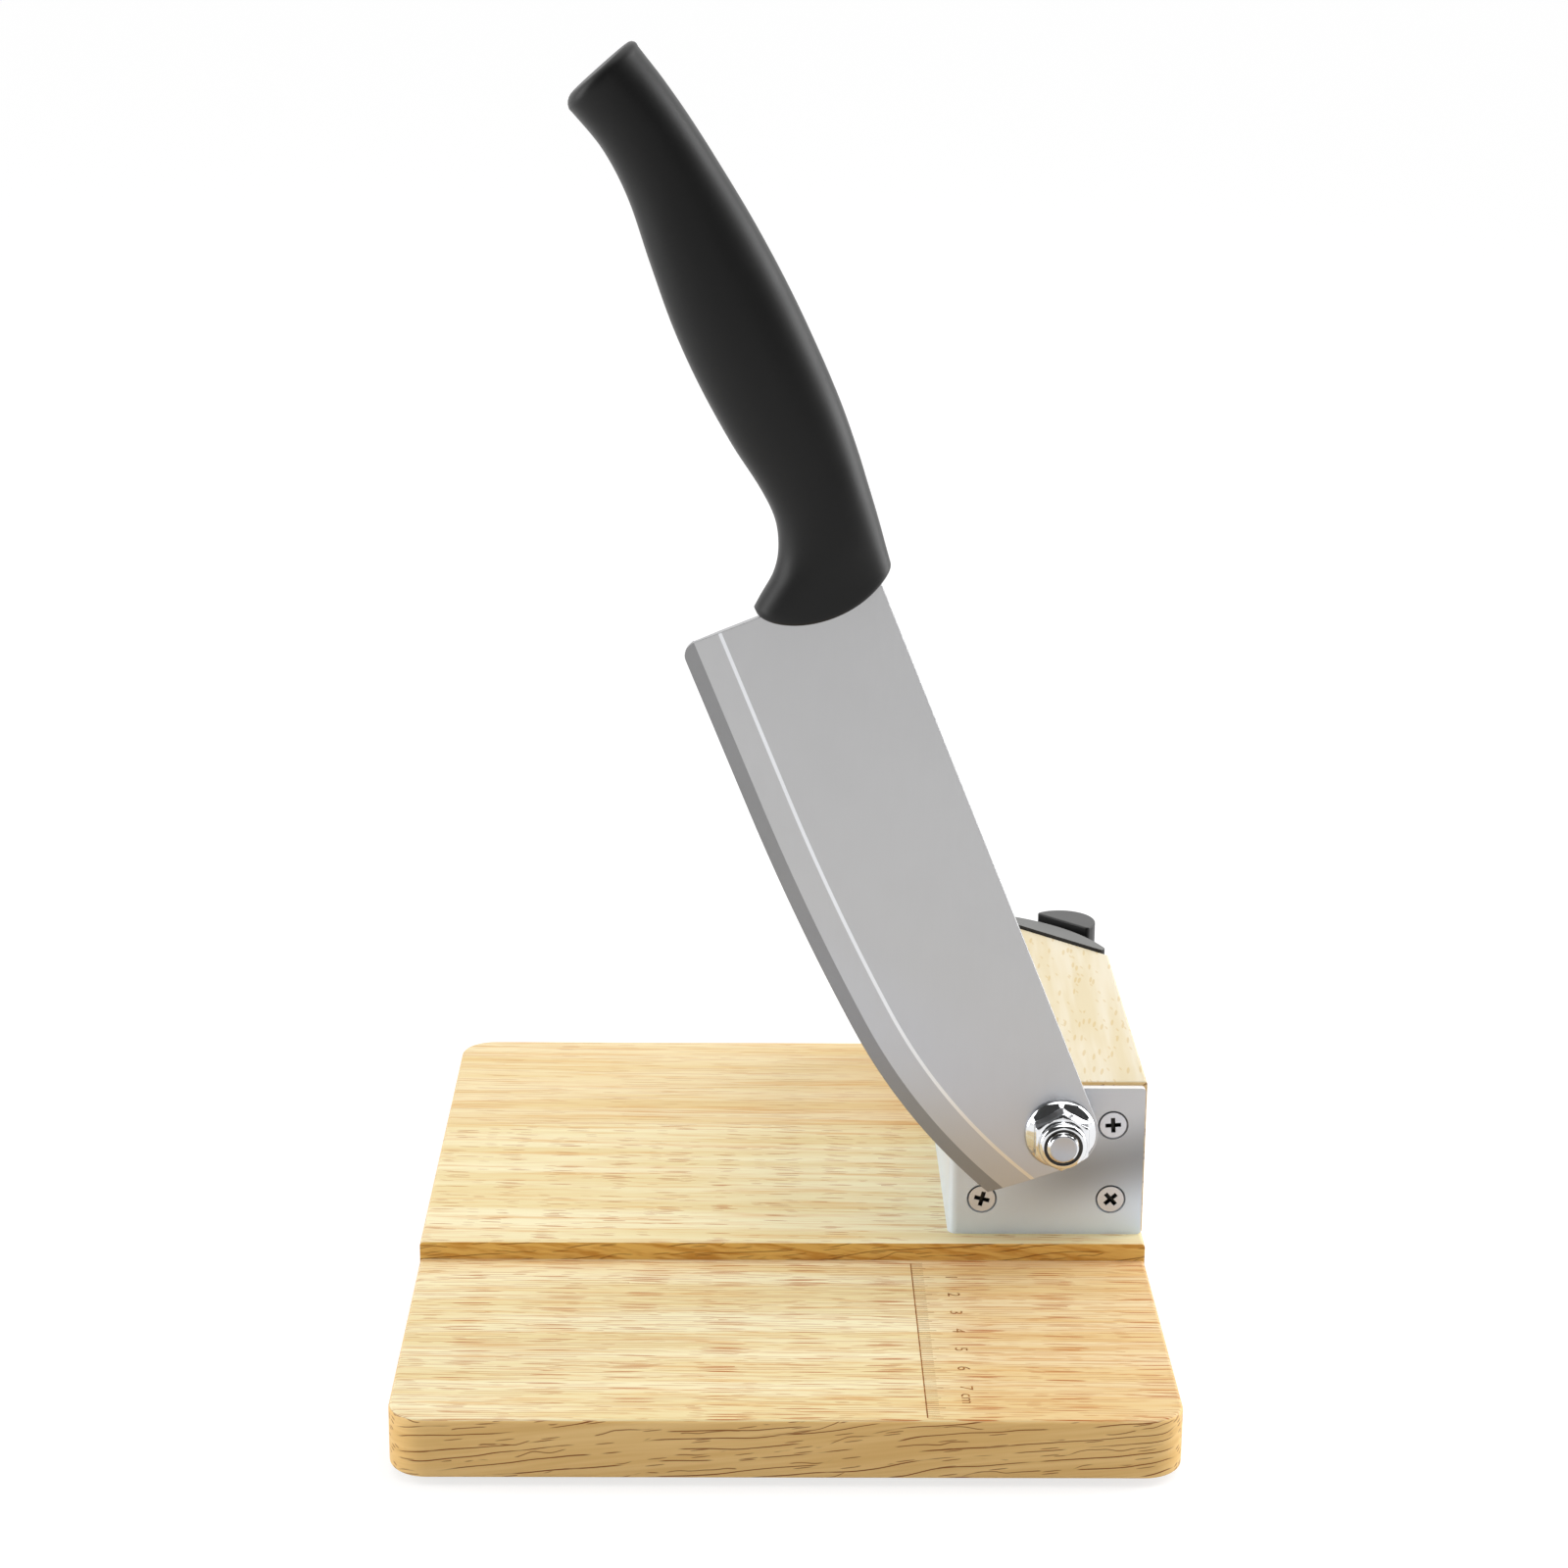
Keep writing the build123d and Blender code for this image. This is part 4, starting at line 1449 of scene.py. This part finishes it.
    def _close(self, shell: Shell, end: HandleEnd, first: list[int]) -> None:
        """Rounds and closes one end of the handle.

        Args:
            shell: the mesh.
            end: the end.
            first: the ring that the end joins.
        """
        previous = first
        for step in range(1, self.rounding_steps + 1):
            angle = math.pi / 2 * step / self.rounding_steps
            inset, back = end.radius * (1 - math.cos(angle)), end.radius * (1 - math.sin(angle))
            previous = self._inner_ring(shell, previous, end, inset, end.inward * back)
        size = min(math.hypot(v - end.centre, w) for v, w in end.outer)
        for share in self.inner_rings:
            previous = self._inner_ring(shell, previous, end, end.radius + (size - end.radius) * share, 0.0)
        shell.fan(previous, self.knife.point(end.place(end.centre), end.centre, 0))

    def _inner_ring(
        self, shell: Shell, previous: list[int], end: HandleEnd, inset: float, back: float
    ) -> list[int]:
        """Adds one ring nearer to the middle of an end.

        Args:
            shell: the mesh.
            previous: the ring before it.
            end: the end.
            inset: distance from the side, in millimetres.
            back: distance behind the end, in millimetres.

        Returns:
            The new ring.
        """
        points = []
        centre = end.centre
        for v, w in end.outer:
            away = math.hypot(v - centre, w)
            keep = max(away - inset, self.smallest_ring) / away
            inner_v = centre + (v - centre) * keep
            points.append(self.knife.point(end.place(inner_v) + back, inner_v, w * keep))
        ring = shell.ring(points)
        shell.skin(previous, ring)
        return ring

    def build(self) -> None:
        """Makes the handle and hands it over."""
        shell = Shell()
        angles = [2 * math.pi * i / self.around for i in range(self.around)]
        starts = [self._meet(self._nose_at, a) + self.nose_round for a in angles]
        stops = [self._meet(self._butt_at, a) - self.butt_round for a in angles]
        rings = []
        sides = []
        for step in range(self.lengthways + 1):
            share = step / self.lengthways
            places = [begin + (stop - begin) * share for begin, stop in zip(starts, stops)]
            sides.append([self._section(u, angle) for u, angle in zip(places, angles)])
            rings.append(shell.ring([self.knife.point(u, v, w) for u, (v, w) in zip(places, sides[-1])]))
            if step:
                shell.skin(rings[-2], rings[-1])
        self._close(shell, HandleEnd(self._nose_at, sides[0], self.nose_round, 1), rings[0])
        self._close(shell, HandleEnd(self._butt_at, sides[-1], self.butt_round, -1), rings[-1])
        handle = shell.to_object("knife_handle", [self.finishes.handle], self.sharp)
        hand_over(handle, KNIFE, "handle_plastic", "handle")


@dataclass
class PivotHardware:
    """Bolt with a real thread, and the flange lock nut in front of the blade."""

    finishes: Finishes
    pivot: Pivot = Pivot()
    seat: float = -29.85
    bolt_end: float = -40.05
    head_front: float = -18.85
    head_height: float = 5.3
    head_edge: float = 0.3
    across_flats: float = 13.0
    bolt: float = 8.0
    pitch: float = 1.25
    thread_depth: float = 0.6
    thread_half: float = 0.42
    thread_rows: float = 0.08
    end_chamfer: float = 0.7
    end_lip: float = 0.35
    end_dip: float = 0.6
    dip_depth: float = 0.06
    flange: float = 17.6
    flange_rim: float = 1.1
    flange_height: float = 2.6
    hex_height: float = 6.6
    height: float = 9.4
    crown: float = 11.8
    mouth: float = 9.4
    mouth_lip: float = 0.5
    pocket: float = 10.2
    pocket_floor: float = 2.7
    bore_gap: float = 0.05
    chamfer_angle: float = 60.0
    corner_round: float = 0.45
    corner_step: float = 0.1
    corner_rise: float = 0.02
    soft_edge: float = 0.12
    crown_round: float = 1.15
    crown_steps: int = 8
    nut_sharp: float = 40.0
    bolt_sharp: float = 50.0
    # Directions of one side's points, close together at its corners, in degrees.
    side_points: tuple[float, ...] = (
        -30, -29.4, -28.8, -28.2, -27.4, -24, -18, -12, -6, 0, 6, 12, 18, 24, 27.4, 28.2, 28.8, 29.4
    )
    # Steps inwards from the flange's rim, with heights above the seat and then above the rim's top.
    rim_foot: tuple[Pair, ...] = ((0.5, 0.0), (0.15, 0.12), (0.0, 0.4))
    rim_top: tuple[Pair, ...] = ((0.0, -0.45), (0.12, -0.12), (0.4, 0.12))
    rim_end: float = 0.5
    cone_end: float = 0.14
    # Steps outwards from the crown, with heights above the hexagon.
    crown_foot: tuple[Pair, ...] = ((0.22, 0.0), (0.05, 0.06), (0.0, 0.25))
    # Steps outwards from the mouth, with depths below the top.
    mouth_edge: tuple[Pair, ...] = ((0.06, 0.02), (0.0, 0.12))

    def _angles(self) -> list[float]:
        """Directions of the points round a hexagon, in radians."""
        return [math.radians(60 * side + within) for side in range(6) for within in self.side_points]

    def _hexagon(self, angle: float) -> float:
        """Distance from the axis to a hexagon with rounded corners.

        Args:
            angle: direction, in radians.

        Returns:
            The distance, in millimetres.
        """
        flat = self.across_flats / 2
        off = (math.degrees(angle) + 30) % 60 - 30
        inner = flat - self.corner_round
        if flat * math.tan(math.radians(abs(off))) <= inner * math.tan(math.radians(30)):
            return flat / math.cos(math.radians(off))
        middle = inner / math.cos(math.radians(30))
        from_corner = math.radians(30 - abs(off))
        return middle * math.cos(from_corner) + math.sqrt(
            max(self.corner_round**2 - (middle * math.sin(from_corner)) ** 2, 0)
        )

    def _profile(self, hexes: list[float]) -> list[list[Pair]]:
        """Radius and height of each point of the nut, row by row from its bore over the top and back.

        Args:
            hexes: distance from the axis to the hexagon, point by point.

        Returns:
            The rows, in millimetres.
        """
        flat, soft = self.across_flats / 2, self.soft_edge
        rim, crown, mouth, pocket = (size / 2 for size in (self.flange, self.crown, self.mouth, self.pocket))
        bore = self.bolt / 2 + self.bore_gap
        cone = (self.flange_height - self.flange_rim) / (rim - flat)
        chamfer = 1 / math.tan(math.radians(self.chamfer_angle))
        top, turn = self.height, self.crown_round
        shoulder = [(r, self.hex_height - (r - flat) * chamfer) for r in hexes]
        flange = [(bore, 0.0)]
        flange += [(rim - inset, up) for inset, up in self.rim_foot]
        flange += [(rim - inset, self.flange_rim + up) for inset, up in self.rim_top]
        flange.append((rim - self.rim_end, self.flange_rim + self.rim_end * cone))
        head = [(flat - soft, self.hex_height)]
        head += [(crown + out, self.hex_height + up) for out, up in self.crown_foot]
        head += arc((crown - turn, top - turn), turn, 0, math.pi / 2, self.crown_steps)
        head += [(mouth + out, top - down) for out, down in self.mouth_edge]
        head += [(radius, top - self.mouth_lip) for radius in (mouth, pocket)]
        head += [(radius, top - self.pocket_floor) for radius in (pocket, bore)]
        gap = self.cone_end
        return [
            *([pair] * len(hexes) for pair in flange),
            [(r + gap, self.flange_rim + (rim - r - gap) * cone) for r in hexes],
            [(r, self.flange_rim + (rim - r) * cone + soft) for r in hexes],
            [(r, up - soft) for r, up in shoulder],
            [(r - self.corner_step, up + self.corner_rise) for r, up in shoulder],
            *([pair] * len(hexes) for pair in head),
        ]

    def _nut(self) -> bpy.types.Object:
        """Flange lock nut with its rounded flange and crown.

        Returns:
            The nut.
        """
        angles = self._angles()
        shell = Shell()
        rings = [
            shell.ring(self.pivot.around([(radius, self.seat - out) for radius, out in row], angles))
            for row in self._profile([self._hexagon(a) for a in angles])
        ]
        for first, second in zip(rings, rings[1:] + rings[:1]):
            shell.skin(first, second)
        nut = shell.to_object("nut_with_flange", [self.finishes.polished], self.nut_sharp)
        even_out(nut)
        return nut

    def _thread(self, y: float, angle: float) -> float:
        """Distance from the axis to the bolt's thread.

        Args:
            y: place along the axis, in millimetres.
            angle: direction, in radians.

        Returns:
            The distance, in millimetres.
        """
        radius = self.bolt / 2
        phase = (y / self.pitch + angle / (2 * math.pi)) % 1
        groove = self.thread_depth * max(0.0, 1 - abs(phase - 0.5) / self.thread_half)
        return min(radius - groove, radius - max(self.end_chamfer - (y - self.bolt_end), 0))

    def _bolt(self) -> bpy.types.Object:
        """Bolt with its head in the block and a rolled thread.

        Returns:
            The bolt.
        """
        shell = Shell()
        angles = self._angles()
        hexes = [self._hexagon(a) for a in angles]
        back, edge = self.head_front + self.head_height, self.head_edge
        head = ((edge, back), (0, back - edge), (0, self.head_front))
        rows = [[(radius - inset, y) for radius in hexes] for inset, y in head]
        count = int((self.head_front - self.bolt_end) / self.thread_rows)
        for row in range(count + 1):
            y = self.head_front + (self.bolt_end - self.head_front) * row / count
            rows.append([(self._thread(y, angle), y) for angle in angles])
        end = self.bolt / 2 - self.end_chamfer
        dip = self.bolt_end + self.dip_depth
        rows.append([(end - self.end_lip, self.bolt_end)] * len(angles))
        rows.append([(end - self.end_dip, dip)] * len(angles))
        rings = [shell.ring(self.pivot.around(row, angles)) for row in rows]
        for index in range(len(rings) - 1):
            shell.skin(rings[index], rings[index + 1], finish=int(index >= len(rings) - 3))
        shell.cap(rings[0])
        shell.fan(rings[-1], self.pivot.at(dip), 1)
        looks = [self.finishes.polished, self.finishes.stud]
        return shell.to_object("bolt_with_thread", looks, self.bolt_sharp)

    def build(self) -> None:
        """Makes the bolt and the nut and hands them over."""
        hand_over(self._nut(), STAND, "polished_steel", "flange_nut")
        hand_over(self._bolt(), STAND, "polished_steel", "pivot_bolt")


@dataclass
class EngravedScale:
    """Centimetre scale that is burnt into the ledge."""

    finishes: Finishes
    line_x: float = 31.7
    ledge_z: float = 16.5
    zero_y: float = -27.0
    first: int = 2
    last: int = 85
    width: float = 0.3
    tick_width: float = 0.15
    tick: float = 2.7
    half_tick: float = 3.4
    whole_tick: float = 4.2
    proud: float = 0.012
    sunk: float = 0.05
    figure_x: float = 41.2
    figure: float = 3.0
    figure_share: float = 0.7
    figures: int = 7
    unit_at: float = 75.4
    join_reach: float = 1e-7

    def _bar(self, shell: Shell, low: Pair, high: Pair) -> None:
        """Adds one thin mark.

        Args:
            shell: the mesh.
            low, high: two corners in X and Y, in millimetres.
        """
        rings = []
        for z in (self.ledge_z - self.sunk, self.ledge_z + self.proud):
            corners = ((low[0], low[1]), (high[0], low[1]), (high[0], high[1]), (low[0], high[1]))
            rings.append(shell.ring([Vector((x, y, z)) * MM for x, y in corners]))
        shell.skin(rings[0], rings[1])
        shell.cap(rings[0])
        shell.cap(rings[1])

    def _figure(self, text: str, y: float) -> bpy.types.Mesh:
        """One figure of the scale, turned with its top to the right.

        Args:
            text: what it says.
            y: its middle, in millimetres.

        Returns:
            The figure's mesh.
        """
        curve = bpy.data.curves.new("figure", "FONT")
        curve.body = text
        curve.size = self.figure * MM / self.figure_share
        curve.align_x = "CENTER"
        curve.align_y = "CENTER"
        curve.extrude = (self.proud + self.sunk) / 2 * MM
        made = add_object("figure", curve)
        made.rotation_euler = (0, 0, -math.pi / 2)
        made.location = Vector((self.figure_x, y, self.ledge_z + (self.proud - self.sunk) / 2)) * MM
        mesh = final_mesh(made)
        mesh.transform(made.matrix_world)
        bpy.data.objects.remove(made)
        return mesh

    def _tick(self, count: int) -> float:
        """Length of the mark at a whole number of millimetres."""
        return self.whole_tick if count % 10 == 0 else self.half_tick if count % 5 == 0 else self.tick

    def build(self) -> None:
        """Makes the scale and hands it over."""
        shell = Shell()
        right, half = self.line_x + self.width / 2, self.tick_width / 2
        self._bar(shell, (right - self.width, self.zero_y - self.last), (right, self.zero_y - self.first))
        for count in range(self.first, self.last + 1):
            y = self.zero_y - count
            self._bar(shell, (right, y - half), (right + self._tick(count), y + half))
        scale = shell.to_object("engraved_scale", [self.finishes.burnt])
        hand_over(scale, STAND, "board_wood")
        labels = [(str(number), self.zero_y - 10 * number) for number in range(1, self.figures + 1)]
        merged = bmesh.new()
        for text, y in (*labels, ("cm", self.zero_y - self.unit_at)):
            merged.from_mesh(self._figure(text, y))
        bmesh.ops.remove_doubles(merged, verts=merged.verts, dist=self.join_reach)
        mesh = bpy.data.meshes.new("engraved_figures")
        merged.to_mesh(mesh)
        merged.free()
        mesh.materials.clear()
        mesh.materials.append(self.finishes.burnt)
        hand_over(add_object("engraved_figures", mesh), STAND, "board_wood")


@dataclass
class CadFinish:
    """Materials of the CAD nodes."""

    finishes: Finishes

    def _dress(self, start: str, material: bpy.types.Material) -> None:
        """Gives the nodes whose names start alike their material.

        Args:
            start: how the names start.
            material: the nodes' material.
        """
        for name in self._named(start):
            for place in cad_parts[name].material_slots:
                place.link = "OBJECT"
                place.material = material
            log.info("%s: dressed in %s", name, material.name)

    def _named(self, start: str) -> list[str]:
        """Names of the nodes that start alike."""
        return [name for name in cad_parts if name.startswith(start)]

    def build(self) -> None:
        """Dresses every CAD node."""
        f = self.finishes
        corner = (math.sqrt(0.5), math.sqrt(0.5), 0)
        for start, material in (
            ("base_board", f.board),
            ("pivot_block", f.block),
            ("pivot_bracket", f.bracket),
            ("blade", f.polished),
            ("handle", f.polished),
            ("pivot_bolt", f.polished),
            ("flange_nut", f.polished),
            ("pivot_jam_nut", f.polished),
            ("pivot_washer", f.polished),
            ("bearing_washer", f.bearing),
            ("nut_lock_ring", f.ring),
            ("foot", f.foot),
            ("sharpener_insert", f.insert),
            ("sharpener_backplate", f.sharpener),
            ("sharpener_outer_wall", f.sharpener_wall),
        ):
            self._dress(start, material)
        for start, out in (
            ("bracket_screw", (0, -1, 0)),
            ("flange_screw", (-1, 0, 0)),
            ("block_screw", (0, 0, -1)),
            ("sharpener_screw", corner),
            ("sharpener_wall_screw", corner),
        ):
            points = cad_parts[self._named(start)[0]].data.vertices
            face = max(point.co.dot(Vector(out)) for point in points)
            self._dress(start, f.screw(f"{start}_steel", out, face))


@dataclass
class Studio:
    """Camera, floor, lamps and the white room round the slicer."""

    camera_at: Point = (-0.010664, -0.799739, 0.366801)
    right: Point = (0.99991206, -0.01059774, 0.00797296)
    up: Point = (-0.00466155, 0.28196804, 0.95941247)
    forward: Point = (0.01241573, 0.95936526, -0.28189384)
    lens: float = 77.625
    sensor: float = 36.0
    nearest: float = 0.01
    room_light: float = 0.3
    floor_half: float = 9.0
    floor_glow: float = 0.74
    floor_seen: float = 0.33
    floor_bounce: float = 0.8
    sun_power: float = 1.5
    sun_width: float = 70.0
    sun_towards: Point = (-0.12, -0.1, -1)
    lamp_target: Point = (0, 0, 0.15)
    lamp_size: Pair = (0.7, 1.2)
    lamp_diffuse: float = 0.03
    lamps: tuple[tuple[str, Point, float], ...] = (
        ("left_box", (-1.2, -0.1, 0.4), 12),
        ("right_box", (1.1, 0.25, 0.4), 16),
    )
    flag_from_y: float = -35.0
    flag_distance: float = 1.2
    flag_grey: float = 0.05
    # Each flag's direction to the right of the user and above the pivot, and its width and height as seen
    # from there, in degrees.
    flags: tuple[tuple[str, float, float, float, float], ...] = (
        ("left_flag", -44, 38, 84, 60),
        ("right_flag", 44, 34, 66, 50),
    )

    def camera(self) -> None:
        """Puts the camera where the photograph was taken from."""
        data = bpy.data.cameras.new("camera")
        data.lens = self.lens
        data.sensor_width = self.sensor
        data.clip_start = self.nearest
        camera = add_object("camera", data)
        axes = Matrix((self.right, self.up, [-part for part in self.forward])).transposed()
        camera.matrix_world = Matrix.Translation(self.camera_at) @ axes.to_4x4()
        bpy.context.scene.camera = camera

    def _by_view(self, tree: bpy.types.NodeTree, unseen: float, seen: float, target: Socket) -> None:
        """Feeds one value to rays from the camera, metal or glass, and another to the rest.

        Args:
            tree: the node tree.
            unseen: the value for light that spreads.
            seen: the value for what is looked at.
            target: the socket that it goes to.
        """
        path = tree.nodes.new("ShaderNodeLightPath")
        total = path.outputs["Is Camera Ray"]
        for name in ("Is Glossy Ray", "Is Transmission Ray"):
            add = tree.nodes.new("ShaderNodeMath")
            add.operation = "MAXIMUM"
            tree.links.new(total, add.inputs[0])
            tree.links.new(path.outputs[name], add.inputs[1])
            total = add.outputs[0]
        value = tree.nodes.new("ShaderNodeMapRange")
        value.inputs["To Min"].default_value = unseen
        value.inputs["To Max"].default_value = seen
        tree.links.new(total, value.inputs["Value"])
        tree.links.new(value.outputs["Result"], target)

    def room(self) -> None:
        """Plain white room, as bright as white paper where it is seen."""
        world = bpy.data.worlds.new("room")
        world.use_nodes = True
        bpy.context.scene.world = world
        background = world.node_tree.nodes["Background"]
        background.inputs["Color"].default_value = (1, 1, 1, 1)
        self._by_view(world.node_tree, self.room_light, 1.0, background.inputs["Strength"])

    def _card(
        self, name: str, x: float, y: float, where: Matrix, material: bpy.types.Material
    ) -> bpy.types.Object:
        """Flat four-sided piece.

        Args:
            name: its name.
            x, y: half of its width and of its height, in metres.
            where: where its middle is and how it is turned.
            material: its material.

        Returns:
            The card.
        """
        shell = Shell()
        corners = ((-x, -y, 0), (x, -y, 0), (x, y, 0), (-x, y, 0))
        shell.cap(shell.ring([where @ Vector(corner) for corner in corners]))
        return shell.to_object(name, [material])

    def floor(self) -> None:
        """Pale floor that keeps a faint shadow."""
        material = bpy.data.materials.new("floor")
        material.use_nodes = True
        tree = material.node_tree
        tree.nodes.clear()
        kinds = ("BsdfDiffuse", "Emission", "AddShader", "OutputMaterial")
        matt, glow, add, output = (tree.nodes.new(f"ShaderNode{kind}") for kind in kinds)
        glow.inputs["Color"].default_value = (1, 1, 1, 1)
        self._by_view(tree, self.floor_bounce, self.floor_seen, matt.inputs["Color"])
        self._by_view(tree, 0.0, self.floor_glow, glow.inputs["Strength"])
        tree.links.new(matt.outputs[0], add.inputs[0])
        tree.links.new(glow.outputs[0], add.inputs[1])
        tree.links.new(add.outputs[0], output.inputs["Surface"])
        floor = self._card("floor", self.floor_half, self.floor_half, Matrix(), material)
        floor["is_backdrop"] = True

    def _lamp(self, name: str, place: Point, power: float) -> None:
        """One soft box that points at the slicer.

        Args:
            name: its name.
            place: where it is, in metres.
            power: in watts.
        """
        data = bpy.data.lights.new(name, "AREA")
        data.shape = "RECTANGLE"
        data.size, data.size_y = self.lamp_size
        data.energy = power
        data.diffuse_factor = self.lamp_diffuse
        lamp = add_object(name, data)
        lamp.location = place
        lamp.rotation_euler = (Vector(self.lamp_target) - Vector(place)).to_track_quat("-Z", "Y").to_euler()

    def _flag(self, name: str, azimuth: float, elevation: float, width: float, height: float) -> None:
        """Dark flag that only shows in polished metal.

        Args:
            name: its name.
            azimuth: its direction from the pivot, in degrees to the right of the user.
            elevation: its height above the pivot, in degrees.
            width, height: its size as seen from the pivot, in degrees.
        """
        turn, lift = math.radians(azimuth), math.radians(elevation)
        away = Vector((math.sin(turn) * math.cos(lift), -math.cos(turn) * math.cos(lift), math.sin(lift)))
        facing = away.to_track_quat("Z", "Y").to_matrix().to_4x4()
        where = Matrix.Translation(Pivot().at(self.flag_from_y) + away * self.flag_distance) @ facing
        x, y = (self.flag_distance * math.tan(math.radians(size / 2)) for size in (width, height))
        material = bpy.data.materials.new(name)
        material.use_nodes = True
        shader = material.node_tree.nodes["Principled BSDF"]
        shader.inputs["Base Color"].default_value = (self.flag_grey,) * 3 + (1,)
        shader.inputs["Specular IOR Level"].default_value = 0
        flag = self._card(name, x, y, where, material)
        flag.visible_camera = False
        flag.visible_diffuse = False
        flag.visible_shadow = False
        flag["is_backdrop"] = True

    def lights(self) -> None:
        """Soft boxes above and beside the slicer, and dark cards for the polished metal."""
        sky = bpy.data.lights.new("overhead", "SUN")
        sky.energy = self.sun_power
        sky.angle = math.radians(self.sun_width)
        overhead = add_object("overhead", sky)
        overhead.rotation_euler = Vector(self.sun_towards).to_track_quat("-Z", "Y").to_euler()
        for lamp in self.lamps:
            self._lamp(*lamp)
        for flag in self.flags:
            self._flag(*flag)

    def build(self) -> None:
        """Makes the whole studio."""
        self.camera()
        self.room()
        self.floor()
        self.lights()
        bpy.context.scene.view_settings.view_transform = "Standard"


def corners() -> list[list[float]]:
    """Lowest and highest corner of the shown object, as plain lists."""
    return [list(corner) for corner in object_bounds()]


def main() -> None:
    """Builds the slicer's pieces and the studio in order."""
    logging.basicConfig(level=logging.INFO, format="%(message)s")
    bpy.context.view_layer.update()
    finishes = Finishes()
    Studio().build()
    CadFinish(finishes).build()
    Blade(finishes).build()
    Handle(finishes).build()
    PivotHardware(finishes).build()
    EngravedScale(finishes).build()


if __name__ == "__main__":
    main()
